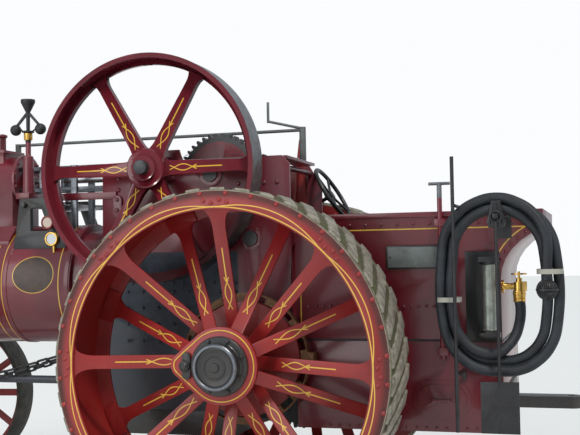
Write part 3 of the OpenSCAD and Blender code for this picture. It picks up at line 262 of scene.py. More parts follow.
class Recipe:
    """A material's node tree, written as expressions."""

    def __init__(self, name: str, store: Any = None) -> None:
        """Starts an empty material of that name, or an empty world in the store of worlds."""
        self.owner = (bpy.data.materials if store is None else store).new(name)
        self.owner.use_nodes = True
        self.tree = self.owner.node_tree
        self.tree.nodes.clear()
        self.coords = self.node("ShaderNodeTexCoord", {}, {}, "Object")

    def node(self, kind: str, settings: dict[str, Any], inputs: dict[Any, Any], output: Any = 0) -> Wire:
        """Adds a node.

        Args:
            kind: The node's type.
            settings: Its properties, which are set first.
            inputs: Its inputs by name or number, each a Wire or a value.
            output: Name or number of the output that is wanted.

        Returns:
            That output.
        """
        made = self.tree.nodes.new(kind)
        for key, value in settings.items():
            setattr(made, key, value)
        for key, value in inputs.items():
            self.feed(made.inputs[key], value)
        return Wire(self, made.outputs[output])

    def feed(self, socket: bpy.types.NodeSocket, value: Any) -> None:
        """Links a Wire to a socket, or sets the socket's value."""
        if isinstance(value, Wire):
            self.tree.links.new(value.socket, socket)
        elif socket.type == "RGBA":
            socket.default_value = (*(linear(value) if isinstance(value, int) else value), 1.0)
        else:
            socket.default_value = value

    def part(self, axis: int, at: float = 0.0) -> Wire:
        """Returns one coordinate, 0 for X to 2 for Z, measured from a place."""
        split = self.node("ShaderNodeSeparateXYZ", {}, {0: self.coords}, axis)
        return split - at if at else split

    def about(self, x: float, z: float) -> tuple[Wire, Wire, Wire]:
        """Returns the distance from a line across the engine, and X and Z from that line."""
        u, w = self.part(0, x), self.part(2, z)
        return (u * u + w * w).root(), u, w

    def noise(self, scale: float, detail: float = 4.0, rough: float = 0.6, stretch: Point = (1, 1, 1)) -> Wire:
        """Returns cloudy noise.

        Args:
            scale: Clouds to the metre.
            detail: Finer octaves.
            rough: How strong those are.
            stretch: Scale along each axis.

        Returns:
            The noise, about 0.5.
        """
        place: Any = self.coords
        if stretch != (1, 1, 1):
            place = self.node("ShaderNodeMapping", {}, {"Vector": self.coords, "Scale": stretch})
        return self.node("ShaderNodeTexNoise", {}, {"Vector": place, "Scale": scale, "Detail": detail,
                                                    "Roughness": rough}, "Fac")

    def mix(self, factor: Any, first: Any, second: Any) -> Wire:
        """Returns a blend of two colours."""
        return self.node("ShaderNodeMix", {"data_type": "RGBA"}, {0: factor, 6: first, 7: second}, 2)

    def ramp(self, factor: Wire, stops: Sequence[tuple[float, Colour]]) -> Wire:
        """Returns the colour at a factor of a ramp with two stops, each a place and a colour."""
        made = self.node("ShaderNodeValToRGB", {}, {0: factor})
        for element, (place, colour) in zip(made.socket.node.color_ramp.elements, stops):
            element.position, element.color = place, (*colour, 1.0)
        return made

    def bump(self, height: Wire, strength: float, distance: float) -> Wire:
        """Returns a normal that shows a height."""
        return self.node("ShaderNodeBump", {}, {"Height": height, "Strength": strength, "Distance": distance})

    def surface(self, **sockets: Any) -> bpy.types.Material:
        """Ends the recipe with a Principled surface.

        Args:
            sockets: Its inputs, with spaces written as underscores.

        Returns:
            The material.
        """
        named = {key.replace("_", " "): value for key, value in sockets.items()}
        return self.end(self.node("ShaderNodeBsdfPrincipled", {}, named), "ShaderNodeOutputMaterial")

    def end(self, shader: Wire, kind: str) -> Any:
        """Leads a shader to an output node of that kind and returns the material or world."""
        self.feed(self.tree.nodes.new(kind).inputs["Surface"], shader)
        return self.owner


def facing(way: Sequence[float], spot: Sequence[float]) -> Matrix:
    """Returns the place at a spot with Z turned to a direction."""
    return Matrix.Translation(spot) @ Vector((0, 0, 1)).rotation_difference(Vector(way)).to_matrix().to_4x4()


class Axis(Enum):
    """A direction that a primitive stands along."""

    X = (1, 0, 0)
    Y = (0, 1, 0)
    Z = (0, 0, 1)

    def across(self, u: float, v: float, along: float) -> Point:
        """Returns the point at u and v across this axis, in the order X, Y, Z, and at a distance along it."""
        return {Axis.X: (along, u, v), Axis.Y: (u, along, v), Axis.Z: (u, v, along)}[self]


class Shading(Enum):
    """The angle up to which a piece's faces are smoothed into each other."""

    CREASED = math.radians(35)
    ROUND = math.radians(80)


@dataclass
class Keeping:
    """Where a finished piece belongs: its body, its slot and its material."""

    body: str
    slot: str
    material: bpy.types.Material


class Bench:
    """Makes and shapes meshes with Blender's own operators."""

    @staticmethod
    def only(*pieces: bpy.types.Object) -> bpy.types.Object:
        """Selects these pieces alone and makes the first one active.

        Args:
            pieces: The pieces.

        Returns:
            The first one.
        """
        bpy.ops.object.select_all(action="DESELECT")
        for piece in pieces:
            piece.select_set(True)
        bpy.context.view_layer.objects.active = pieces[0]
        return pieces[0]

    @staticmethod
    def fresh(add: Callable[..., Any], **settings: Any) -> bpy.types.Object:
        """Returns the piece that one of Blender's add operators makes."""
        bpy.ops.object.select_all(action="DESELECT")
        add(**settings)
        return bpy.context.active_object

    @staticmethod
    def show(name: str, data: Any) -> bpy.types.Object:
        """Returns a new object that shows some data."""
        made = bpy.data.objects.new(name, data)
        bpy.context.collection.objects.link(made)
        return made

    @staticmethod
    @contextmanager
    def edited() -> Iterator[None]:
        """Opens the active piece's mesh in edit mode, with all of it selected, for as long as the block lasts."""
        bpy.ops.object.mode_set(mode="EDIT")
        bpy.ops.mesh.select_mode(type="VERT")
        bpy.ops.mesh.select_all(action="SELECT")
        yield
        bpy.ops.object.mode_set(mode="OBJECT")

    @classmethod
    def settle(cls, piece: bpy.types.Object) -> bpy.types.Object:
        """Applies a piece's place, turn and scale to its mesh."""
        cls.only(piece)
        bpy.ops.object.transform_apply(location=True, rotation=True, scale=True)
        return piece

    @classmethod
    def apply(cls, piece: bpy.types.Object, kind: str, **settings: Any) -> bpy.types.Object:
        """Adds a modifier to a piece and applies it.

        Args:
            piece: The piece.
            kind: The modifier's type.
            settings: Its properties.

        Returns:
            The piece.
        """
        cls.only(piece)
        modifier = piece.modifiers.new(kind.title(), kind)
        for key, value in settings.items():
            setattr(modifier, key, value)
        bpy.ops.object.modifier_apply(modifier=modifier.name)
        return piece

    @classmethod
    def ease(cls, piece: bpy.types.Object, width: float) -> bpy.types.Object:
        """Rounds the sharp edges of a piece.

        Args:
            piece: The piece.
            width: Width of the rounding, and 0 leaves the piece as it is.

        Returns:
            The piece.
        """
        if width <= 0:
            return piece
        return cls.apply(piece, "BEVEL", width=width, segments=2, limit_method="ANGLE",
                         angle_limit=math.radians(32), use_clamp_overlap=True, harden_normals=False)

    @classmethod
    def smooth(cls, piece: bpy.types.Object, shading: Shading = Shading.CREASED) -> bpy.types.Object:
        """Shades a piece smooth up to the shading's angle."""
        cls.only(piece)
        bpy.ops.object.shade_smooth_by_angle(angle=shading.value)
        return piece

    @classmethod
    def cylinder(cls, centre: Point, radius: float, depth: float, axis: Axis = Axis.Y, sides: int = 48,
                 bevel: float = 0.0) -> bpy.types.Object:
        """Adds a round bar about a centre.

        Args:
            centre: Its middle.
            radius: Its radius.
            depth: Its length.
            axis: The direction it lies in.
            sides: Faces round it.
            bevel: Rounding of its ends' edges.

        Returns:
            The bar.
        """
        piece = cls.fresh(bpy.ops.mesh.primitive_cylinder_add, vertices=sides, radius=radius, depth=depth)
        piece.matrix_world = facing(axis.value, centre)
        return cls.ease(cls.settle(piece), bevel)

    @classmethod
    def box(cls, low: Point, high: Point, bevel: float = 0.0) -> bpy.types.Object:
        """Adds a box between two corners, with rounded edges.

        Args:
            low: Its lowest corner.
            high: Its highest corner.
            bevel: Rounding of its edges.

        Returns:
            The box.
        """
        piece = cls.fresh(bpy.ops.mesh.primitive_cube_add, size=1)
        piece.location = [(a + b) / 2 for a, b in zip(low, high)]
        piece.scale = [b - a for a, b in zip(low, high)]
        return cls.ease(cls.settle(piece), bevel)

    @classmethod
    def turned(cls, profile: Sequence[Flat], centre: Point, axis: Axis = Axis.Y, steps: int = 64) -> bpy.types.Object:
        """Spins a profile about an axis, as on a lathe.

        Args:
            profile: Pairs of radius and distance along the axis.
            centre: The point that distances start from.
            axis: The lathe's axis.
            steps: Faces round the piece.

        Returns:
            The turned piece.
        """
        piece = cls.fresh(bpy.ops.mesh.primitive_plane_add, size=0.01)
        with cls.edited():
            bpy.ops.mesh.merge(type="CENTER")
            bpy.ops.transform.translate(value=(profile[0][0], 0, profile[0][1]))
            for (r0, z0), (r1, z1) in zip(profile, profile[1:]):
                bpy.ops.mesh.extrude_region_move(TRANSFORM_OT_translate={"value": (r1 - r0, 0, z1 - z0)})
            bpy.ops.mesh.select_all(action="SELECT")
            bpy.ops.mesh.spin(steps=steps, angle=math.tau, center=(0, 0, 0), axis=(0, 0, 1), use_auto_merge=True)
            bpy.ops.mesh.select_all(action="SELECT")
            bpy.ops.mesh.remove_doubles(threshold=1e-5)
            bpy.ops.mesh.normals_make_consistent(inside=False)
        piece.matrix_world = facing(axis.value, centre)
        return cls.settle(piece)

    @classmethod
    def plate(cls, outline: Sequence[Flat], low: float, high: float, axis: Axis = Axis.Y,
              bevel: float = 0.0) -> bpy.types.Object:
        """Extrudes an outline into a plate.

        Args:
            outline: Its corners: X and Z for a plate across Y, Y and Z across X, and X and Y across Z.
            low: Lower face along the axis.
            high: Upper face along the axis.
            axis: The direction that the plate is thick in.
            bevel: Rounding of its edges.

        Returns:
            The plate.
        """
        piece = cls.fresh(bpy.ops.mesh.primitive_circle_add, vertices=len(outline), radius=1, fill_type="NGON")
        for vertex, (u, v) in zip(piece.data.vertices, outline):
            vertex.co = axis.across(u, v, low)
        with cls.edited():
            rise = tuple((high - low) * value for value in axis.value)
            bpy.ops.mesh.extrude_region_move(TRANSFORM_OT_translate={"value": rise})
            bpy.ops.mesh.select_all(action="SELECT")
            bpy.ops.mesh.normals_make_consistent(inside=False)
        return cls.ease(piece, bevel)

    @staticmethod
    def curve(points: Sequence[Point], bends: bool, **settings: Any) -> bpy.types.Curve:
        """Makes a curve through points.

        Args:
            points: The points.
            bends: Whether it bends smoothly at them.
            settings: The curve's other properties.

        Returns:
            The curve's data.
        """
        data = bpy.data.curves.new("tube", "CURVE")
        data.dimensions = "3D"
        for key, value in settings.items():
            setattr(data, key, value)
        spline = data.splines.new("BEZIER" if bends else "POLY")
        knots = spline.bezier_points if bends else spline.points
        knots.add(len(points) - 1)
        for knot, place in zip(knots, points):
            knot.co = place if bends else (*place, 1)
            if bends:
                knot.handle_left_type = knot.handle_right_type = "AUTO"
        return data

    @classmethod
    def tube(cls, points: Sequence[Point], radius: float, bends: bool = False, sides: int = 10,
             closed: bool = False) -> bpy.types.Object:
        """Runs a round tube through points.

        Args:
            points: The points that it passes.
            radius: Its radius.
            bends: Whether it bends smoothly at the points.
            sides: Rings of faces for a quarter turn and a bit.
            closed: Whether it joins its own start.

        Returns:
            The tube as a mesh.
        """
        data = cls.curve(points, bends, bevel_depth=radius, bevel_resolution=max(1, sides // 4),
                         use_fill_caps=not closed)
        data.splines[0].use_cyclic_u = closed
        cls.only(cls.show("tube", data))
        bpy.ops.object.convert(target="MESH")
        return bpy.context.active_object

    @classmethod
    def join(cls, pieces: Sequence[bpy.types.Object]) -> bpy.types.Object:
        """Joins pieces into the first one."""
        cls.only(*pieces)
        if len(pieces) > 1:
            bpy.ops.object.join()
        return bpy.context.active_object

    @classmethod
    def copies(cls, pattern: bpy.types.Object, places: Iterable[Matrix]) -> bpy.types.Object:
        """Sets a copy of a pattern, each with its own mesh, at every place and joins them.

        Args:
            pattern: The piece that is copied; it is removed.
            places: Where the copies go.

        Returns:
            The joined copies.
        """
        made = []
        for place in places:
            copy = pattern.copy()
            copy.data = pattern.data.copy()
            bpy.context.collection.objects.link(copy)
            copy.matrix_world = place
            made.append(copy)
        bpy.data.objects.remove(pattern)
        return cls.settle(cls.join(made))

    @classmethod
    def domes(cls, spots: Sequence[Spot], radius: float, height: float) -> bpy.types.Object:
        """Makes round rivet heads.

        Args:
            spots: The place and the outward direction of each.
            radius: Radius of a head.
            height: How far it stands up.

        Returns:
            All the heads as one piece.
        """
        head = cls.fresh(bpy.ops.mesh.primitive_uv_sphere_add, segments=10, ring_count=8, radius=1)
        with cls.edited():
            bpy.ops.mesh.bisect(plane_co=(0, 0, -0.15), plane_no=(0, 0, 1), clear_inner=True, use_fill=True)
        head.scale = (radius, radius, height)
        cls.smooth(cls.settle(head), Shading.ROUND)
        return cls.copies(head, [facing(way, spot) for spot, way in spots])

    @classmethod
    def nuts(cls, spots: Sequence[Spot], radius: float, height: float) -> bpy.types.Object:
        """Makes six-sided nuts on studs, at places that face outward directions."""
        nut = cls.join([cls.cylinder((0, 0, height * 0.4), radius, height * 0.8, Axis.Z, 6, radius * 0.12),
                        cls.cylinder((0, 0, height * 0.5), radius * 0.5, height, Axis.Z, 12, radius * 0.08)])
        return cls.copies(nut, [facing(way, spot) for spot, way in spots])

    @classmethod
    def from_node(cls, node: str, bevel: float) -> bpy.types.Object:
        """Copies a CAD node's mesh, merges its loose triangles and eases its edges.

        Args:
            node: The node.
            bevel: Rounding of its sharp edges.

        Returns:
            The copy.
        """
        source = FRAME["nodes"][node]
        piece = cls.show(node + "_worked", source.data.copy())
        piece.matrix_world = source.matrix_world.copy()
        piece.data.materials.clear()
        cls.settle(piece)
        with cls.edited():
            bpy.ops.mesh.remove_doubles(threshold=2e-5)
            bpy.ops.mesh.dissolve_limited(angle_limit=math.radians(0.4))
        return cls.smooth(cls.ease(piece, bevel))

    @classmethod
    def keep(cls, piece: bpy.types.Object, name: str, place: Keeping, *replaced: str,
             shading: Shading | None = Shading.CREASED) -> bpy.types.Object:
        """Names a finished piece, gives it its material and lets it ride on its body.

        Args:
            piece: The piece.
            name: Its name.
            place: Its body, slot and material.
            replaced: CAD nodes that it stands for.
            shading: How it is smoothed; None leaves it as it is.

        Returns:
            The piece.
        """
        if shading is not None:
            cls.smooth(piece, shading)
        cls.settle(piece)
        piece.name = name
        piece.data.materials.clear()
        piece.data.materials.append(place.material)
        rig.ride(piece, place.body)
        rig.slot(piece, place.slot)
        if replaced:
            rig.replaces(piece, *replaced)
        LOG.info("%s: %d faces on %s", name, len(piece.data.polygons), place.body)
        return piece


def ring_spots(centre: Point, radius: float, count: int, start: float = 0.0, way: float = 1.0) -> list[Spot]:
    """Spreads places evenly round a circle across the engine.

    Args:
        centre: Middle of the circle.
        radius: Its radius.
        count: How many places.
        start: Angle of the first one in degrees.
        way: 1 or -1, the side that the places face.

    Returns:
        Each place with its outward direction.
    """
    (x, y, z), first = centre, math.radians(start)
    return [((x + radius * math.cos(first + math.tau * k / count), y,
              z + radius * math.sin(first + math.tau * k / count)), (0.0, way, 0.0)) for k in range(count)]


def row_spots(start: Point, end: Point, count: int, way: Point) -> list[Spot]:
    """Spreads places evenly along a line, all facing one way."""
    a, b = Vector(start), Vector(end)
    return [(tuple(a.lerp(b, number / max(1, count - 1))), way) for number in range(count)]


def long_round(middle: Flat, radius: float, up: float, down: float, sides: int) -> list[Flat]:
    """Gives the outline of two half circles that stand apart.

    Args:
        middle: The point that both are measured from.
        radius: Their radius.
        up: Distance up to the upper one.
        down: Distance down to the lower one.
        sides: Points in all.

    Returns:
        The outline.
    """
    turns = [math.tau * (k + 0.5) / sides for k in range(sides)]
    return [(middle[0] + radius * math.cos(turn),
             middle[1] + (up if math.sin(turn) > 0 else -down) + radius * math.sin(turn)) for turn in turns]


@dataclass(frozen=True)
class Overlay:
    """A second surface that covers part of a painted piece, such as another colour, bare metal or earth."""

    where: Callable[[Recipe], Wire]
    low: int
    high: int
    rough: float = 0.5
    metallic: float = 0.0
    relief: float = 0.0

    def tone(self, mix: Recipe) -> Wire:
        """Returns its cloudy colour."""
        return mix.ramp(mix.noise(18.0, 7.0, 0.7), [(0.34, linear(self.low)), (0.66, linear(self.high))])


@dataclass(frozen=True)
class WheelEarth(Overlay):
    """Brown splashes on a rear wheel's ring, and pale worn strakes on its tread."""

    splash: int = 0x322420

    def tone(self, mix: Recipe) -> Wire:
        """Returns brown below the tread and its cloudy colour above."""
        return mix.mix(mix.about(AXLE_X, AXLE_Z)[0].rise(0.9680, 0.9705), self.splash, super().tone(mix))


@dataclass(frozen=True)
class Paint:
    """Coach paint with fading, dust, chips and a gloss coat."""

    name: str
    colour: int
    rough: float = 0.3
    coat: float = 0.5
    dust: float = 0.18
    dust_colour: int = 0x806E5C
    chips: float = 0.25
    orange_peel: float = 0.12

    def build(self, lining: Callable[[Recipe], Wire] | None = None, suffix: str = "",
              over: "Overlay | None" = None) -> bpy.types.Material:
        """Builds the material.

        Args:
            lining: Gives the mask of the painted lines, where there are any.
            suffix: Added to the material's name.
            over: Another surface that covers part of the paint.

        Returns:
            The material.
        """
        mix = Recipe(self.name + suffix)
        dark, light = linear(self.colour, 0.74), linear(self.colour, 1.22)
        shade = mix.ramp(mix.noise(2.3, 3.0, 0.55), [(0.3, dark), (0.72, light)])
        if lining is not None:
            line = lining(mix) * (0.72 + mix.noise(60.0, 2.0) * 0.5).held()
            shade = mix.mix(line, shade, LINING_YELLOW)
        streak = mix.noise(9.0, 6.0, 0.65, (1.0, 1.0, 0.35)).rise(0.46, 0.74)
        low = mix.part(2).rise(1.5, 0.25)
        speck = mix.noise(75.0, 3.0, 0.7).rise(0.5, 0.8)
        dirt = (streak * self.dust + low * self.dust * 0.7 + speck * self.dust * 0.4).held()
        shade = mix.mix(dirt, shade, self.dust_colour)
        chip = mix.noise(34.0, 8.0, 0.72).rise(0.70, 0.735) * self.chips
        shade = mix.mix(chip, shade, 0x2E2622)
        height = mix.noise(120.0, 2.0, 0.5) * self.orange_peel + mix.noise(5.0, 3.0) * 0.6 - chip * 0.5
        rough, coat, metal = (self.rough + dirt * 0.45 + speck * 0.08).held(), self.coat, 0.0
        if over is not None:
            where = over.where(mix)
            shade = mix.mix(where, shade, over.tone(mix))
            rough = (rough + where * (over.rough - self.rough)).held()
            coat, metal = (1.0 - where) * self.coat, where * over.metallic
            height = height + where * mix.noise(40.0, 6.0, 0.7) * over.relief
        return mix.surface(Base_Color=shade, Roughness=rough, Metallic=metal,
                           Coat_Weight=coat, Coat_Roughness=0.12, Specular_IOR_Level=0.5,
                           Normal=mix.bump(height, 0.16, 0.004))


@dataclass(frozen=True)
class Metal:
    """Bare metal with oil, tarnish or rust in its low places."""

    name: str
    colour: int
    stain: int
    rough: float = 0.3
    stained: float = 0.4
    metallic: float = 1.0
    grain: Point = (1, 1, 1)
    relief: float = 0.15

    def build(self) -> bpy.types.Material:
        """Returns the material."""
        mix = Recipe(self.name)
        patch = mix.noise(11.0, 7.0, 0.68).rise(0.42, 0.72)
        fine = mix.noise(90.0, 4.0, 0.6, self.grain)
        film = (patch * self.stained + fine.rise(0.5, 0.8) * self.stained * 0.5).held()
        tone = mix.mix(fine * 0.35, self.colour, linear(self.colour, 0.72))
        return mix.surface(Base_Color=mix.mix(film, tone, self.stain),
                           Metallic=(self.metallic - film * 0.55 * self.metallic).held(),
                           Roughness=(self.rough + film * 0.3 + fine * 0.1).held(),
                           Normal=mix.bump(fine + patch * 1.4, self.relief, 0.002))


@dataclass(frozen=True)
class Earth:
    """Caked mud and cut grass, with the metal that it leaves bare."""

    name: str
    mud: int
    grass: int
    bare: int
    bare_share: float = 0.3

    def build(self) -> bpy.types.Material:
        """Returns the material."""
        mix = Recipe(self.name)
        clod = mix.noise(26.0, 8.0, 0.72)
        blades = mix.noise(150.0, 4.0, 0.75, (1.0, 0.35, 1.0))
        where = mix.noise(4.5, 4.0, 0.6)
        soil = mix.ramp(clod, [(0.28, linear(self.mud, 0.5)), (0.7, linear(self.mud, 1.5))])
        soil = mix.mix((where.rise(0.40, 0.62) * blades.rise(0.36, 0.66)).held(), soil, self.grass)
        open_metal = (mix.noise(8.0, 6.0, 0.7).rise(0.56, 0.68) * self.bare_share * 2.0).held()
        return mix.surface(Base_Color=mix.mix(open_metal, soil, self.bare),
                           Metallic=open_metal * 0.6, Roughness=(0.93 - open_metal * 0.45).held(),
                           Normal=mix.bump(clod * 1.6 + blades, 0.7, 0.012))


@dataclass(frozen=True)
class Rubber:
    """Weathered rubber with a dusty bloom."""

    name: str
    colour: int
    bloom: int
    rough: float = 0.5

    def build(self) -> bpy.types.Material:
        """Returns the material."""
        mix = Recipe(self.name)
        cloud = mix.noise(7.0, 5.0, 0.6)
        scuff = mix.noise(55.0, 6.0, 0.7).rise(0.5, 0.75)
        wrap = (mix.noise(24.0, 2.0, 0.5, (1.0, 1.0, 6.0)) - 0.5) * 0.6
        return mix.surface(Base_Color=mix.mix((cloud.rise(0.4, 0.75) * 0.45 + scuff * 0.2).held(), self.colour,
                                              self.bloom),
                           Roughness=(self.rough + cloud * 0.2).held(), Normal=mix.bump(scuff + wrap, 0.25, 0.002))


@dataclass(frozen=True)
class Timber:
    """Oiled hardwood with grain along one axis."""

    name: str
    light: int
    dark: int
    along: Point = (1.0, 0.08, 1.0)

    def build(self) -> bpy.types.Material:
        """Returns the material."""
        mix = Recipe(self.name)
        grain = mix.noise(60.0, 7.0, 0.65, self.along)
        worn = mix.noise(14.0, 4.0, 0.6).rise(0.45, 0.7)
        tone = mix.ramp(grain, [(0.3, linear(self.dark)), (0.68, linear(self.light))])
        return mix.surface(Base_Color=mix.mix(worn * 0.35, tone, linear(self.dark, 0.5)),
                           Roughness=(0.5 + grain * 0.25).held(), Normal=mix.bump(grain, 0.3, 0.002))


def ring_lining(mix: Recipe) -> Wire:
    """Gives the braided double line round a rear wheel's ring."""
    radius, u, w = mix.about(AXLE_X, AXLE_Z)
    swell = (abs((w.angle_from(u) * 4.0).sine()) - 0.16).most(0.0)
    waved = radius.band(swell * 0.036 + 0.882, 0.007)
    return radius.band(0.880, 0.008).most(waved) * (abs(mix.part(1)) > 1.0785)


def tread_mask(mix: Recipe) -> Wire:
    """Gives the tread and the strakes of a rear wheel, and splashes beside them."""
    radius = mix.about(AXLE_X, AXLE_Z)[0]
    splash = radius.rise(0.918, 0.952) * (0.35 + mix.noise(7.0, 6.0, 0.7)).held() * (abs(mix.part(1)) > 1.05)
    return radius.rise(0.9690, 0.9705).most(splash * 0.9)


def front_tyre_mask(mix: Recipe) -> Wire:
    """Gives the bare tyre of the front wheels."""
    return mix.about(FRONT_X, FRONT_Z)[0].rise(0.538, 0.541)


def fly_rim_mask(mix: Recipe) -> Wire:
    """Gives the belt face of the flywheel, which the belt keeps bright."""
    return mix.about(CRANK_X, CRANK_Z)[0].rise(0.7085, 0.7092)


def lower_mask(mix: Recipe) -> Wire:
    """Gives the slate-coloured lower part of a hornplate."""
    return mix.part(2).rise(1.632, 1.628) * mix.part(0, AXLE_X).rise(0.10, 0.12)


def tender_lining(mix: Recipe) -> Wire:
    """Gives the line round each side of the tender: straight along the top and concentric with the rear sweep."""
    x, z = mix.part(0, AXLE_X), mix.part(2)
    u, v = (abs(x + 0.888) - 0.457).most(0.0), (abs(z - 1.188) - 0.446).most(0.0)
    panel = (u * u + v * v).root().band(0.100, 0.0085) * (z < 1.440)
    u, v = (x + 1.895) / 0.450, (z - 1.440) / 0.360
    sweep = (u * u + v * v).root().band(1.0, 0.022) * (z > 1.440) * (z < 1.738)
    top = z.band(1.734, 0.0085) * (x > -1.640)
    return panel.most(sweep).most(top) * (abs(mix.part(1)) > 0.5185)


def gear_web_mask(mix: Recipe) -> Wire:
    """Gives the painted web of the second shaft's gear, inside its toothed ring."""
    radius = mix.about(SECOND_X, SECOND_Z)[0]
    return radius.rise(0.222, 0.218) * radius.rise(0.070, 0.074) * (mix.part(1) > 0.165)


def handle_mask(mix: Recipe) -> Wire:
    """Gives the bare top of the brake column, above the tender."""
    return mix.part(2).rise(1.900, 1.905)


def roller_mask(mix: Recipe) -> Wire:
    """Gives the rope guide's roller, which the rope keeps bright."""
    u, w = mix.part(0, AXLE_X - 1.435), mix.part(1, 0.582)
    inside = (u * u + w * w).root() < 0.0475
    return inside * (mix.part(2) > 1.165) * (mix.part(2) < 1.525)


def badge_oval(mix: Recipe) -> Wire:
    """Gives 0 in the middle of the barrel's blank badge and 1 at its edge."""
    u, v = mix.part(0, AXLE_X + 1.541) / 0.150, mix.part(2, 1.498) / 0.118
    return (u * u + v * v).root()


def barrel_lining(mix: Recipe) -> Wire:
    """Gives the lines beside the barrel's bands, and the rings of its badge."""
    oval = badge_oval(mix)
    lines = oval.band(1.0, 0.055).most(oval.band(0.72, 0.04)) * (mix.part(1) > 0.0)
    for place in (1.352, 1.772, 1.842, 2.440):
        lines = lines.most(mix.part(0, AXLE_X + place).band(0.0, 0.008))
    return lines


def badge_mask(mix: Recipe) -> Wire:
    """Gives the face of the badge."""
    return (1.0 - badge_oval(mix)).rise(0.0, 0.02) * (mix.part(1) > 0.0)


def crossed_loop(along: Wire, across: Wire, inner: float, outer: float, end: float) -> Wire:
    """Gives a straight line that ends in a crossed loop.

    Args:
        along: Distance along the spoke.
        across: Distance across it.
        inner: Where the loop starts, towards the hub.
        outer: Where the loop ends and the line starts.
        end: Where the line ends.

    Returns:
        The mask.
    """
    size, span, width = abs(across), outer - inner, 0.0075
    wave = abs(((along - inner) * (math.pi / span)).sine()) * 0.019
    tail = 0.24 * span
    loop = size.band(wave, width) * (along > inner - tail) * (along < outer + tail)
    return loop.most(size.band(0.0, width * 1.1) * (along > outer) * (along < end))


def spoke_lining(mix: Recipe) -> Wire:
    """Gives the lines on both sets of a rear wheel's spokes."""
    radius, u, w = mix.about(AXLE_X, AXLE_Z)
    outer, inner = (crossed_loop(radius, (w.angle_from(u) - math.radians(turn)).folded(math.tau / 8).sine() * radius,
                                 0.335, 0.460, 0.655) for turn in (1.0, 20.5))
    return outer.most(inner) * (abs(mix.part(1)) > 0.72)


def flywheel_lining(mix: Recipe) -> Wire:
    """Gives the lines on the flywheel's spokes."""
    radius, u, w = mix.about(CRANK_X, CRANK_Z)
    across = w.angle_from(u).folded(math.tau / 6).sine() * radius
    return crossed_loop(radius, across, 0.175, 0.295, 0.49)


class Finishes:
    """Every finish on the engine, built once, under the slot that it usually stands in."""

    def __init__(self) -> None:
        """Builds the materials."""
        wheel = Paint("wheel_red", 0x8A1414, rough=0.42, coat=0.16, dust=0.07)
        maroon = Paint("coach_maroon", 0x621622, rough=0.3, coat=0.35, dust=0.05)
        slate = Paint("boiler_slate", 0x242C38, rough=0.46, coat=0.12, dust=0.1)
        black = Paint("stove_black", 0x14171B, rough=0.42, coat=0.15, dust=0.12)
        earth = WheelEarth(tread_mask, 0x625C50, 0xA6A092, 0.7, 0.15, 3.0)
        tyre = Overlay(front_tyre_mask, 0x2C2A26, 0x56524A, 0.6, 0.4, 1.0)
        web = Overlay(gear_web_mask, 0x520C16, 0x6C1420, 0.35)
        bare = Overlay(handle_mask, 0x54585C, 0x787C80, 0.4, 0.6)
        worn = Overlay(roller_mask, 0x787C76, 0xA8ACA4, 0.35, 0.7)
        belt = Overlay(fly_rim_mask, 0x464242, 0x807E80, 0.3, 0.8)
        lower = Overlay(lower_mask, 0x1A212B, 0x2C3542, 0.5)
        badge = Overlay(badge_mask, 0x2C1E1A, 0x463226, 0.4)
        greased = Metal("greased_iron", 0x464648, 0x0E0D0D, 0.3, 0.75, 0.6)
        oiled = Metal("oiled_iron", 0x3E3E40, 0x1A1614, 0.42, 0.6, 0.7)
        grey = Metal("worn_grey_iron", 0x707674, 0x3A3832, 0.45, 0.5, 0.5)
        bright = Metal("bright_steel", 0xC4C6CC, 0x5C4E3C, 0.26, 0.35)
        rolled = Metal("rolled_steel", 0x787C82, 0x2E2A2A, 0.24, 0.45)
        brass = Metal("brass", 0xDEB25C, 0x785628, 0.2, 0.3)
        mud = Earth("caked_tread", 0x544E3C, 0x54602E, 0x78746C, 0.1)
        strake = Earth("strake_steel", 0x766E5C, 0x5C623A, 0x969490,
                       0.45)
        lining = Paint("lining_yellow", LINING_YELLOW, rough=0.4, coat=0.2, dust=0.1, chips=0.15)
        glass = Paint("gauge_glass", 0xBEC4C4, rough=0.1, coat=1.0, dust=0.1)
        cream = Paint("badge_cream", 0xCEB49E, rough=0.3, coat=0.8, dust=0.1)
        rubber = Rubber("hose_rubber", 0x101318, 0x3E444C)
        webbing = Rubber("strap_webbing", 0x96948A, 0xBAB8AC, 0.8)
        timber = Timber("brake_block_wood", 0x966E46, 0x543822)
        slots = {
            "red_paint": {"wheel_red": wheel.build(), "front_wheel": wheel.build(None, "_front", tyre),
                          "wheel_ring": wheel.build(ring_lining, "_ring", earth),
                          "wheel_spokes": wheel.build(spoke_lining, "_spokes"),
                          "lining": lining.build(), "mud": mud.build(), "strake": strake.build()},
            "maroon_paint": {"maroon": maroon.build(), "flywheel": maroon.build(flywheel_lining, "_flywheel", belt),
                             "hornplate": maroon.build(None, "_hornplate", lower),
                             "tender": maroon.build(tender_lining, "_tender"),
                             "barrel": maroon.build(barrel_lining, "_barrel", badge),
                             "column": maroon.build(None, "_column", bare)},
            "slate_paint": {"slate": slate.build()},
            "black_paint": {"black": black.build(), "rope_guide": black.build(None, "_rope_guide", worn)},
            "gear_iron": {"gears": black.build(None, "_gears", web), "grease": greased.build()},
            "bright_steel": {"steel": bright.build(), "tyre_steel": rolled.build()},
            "dark_iron": {"iron": oiled.build(), "grey": grey.build()},
            "brass": {"brass": brass.build(), "glass": glass.build(), "cream": cream.build()},
            "hose_rubber": {"rubber": rubber.build(), "webbing": webbing.build()},
            "brake_wood": {"timber": timber.build()},
        }
        self.built = {name: (slot, made) for slot, group in slots.items() for name, made in group.items()}

    def on(self, finish: str, body: str = "root", slot: str | None = None) -> Keeping:
        """Returns where a piece with a finish belongs, in the finish's own slot unless another is named."""
        own, material = self.built[finish]
        return Keeping(body, slot or own, material)


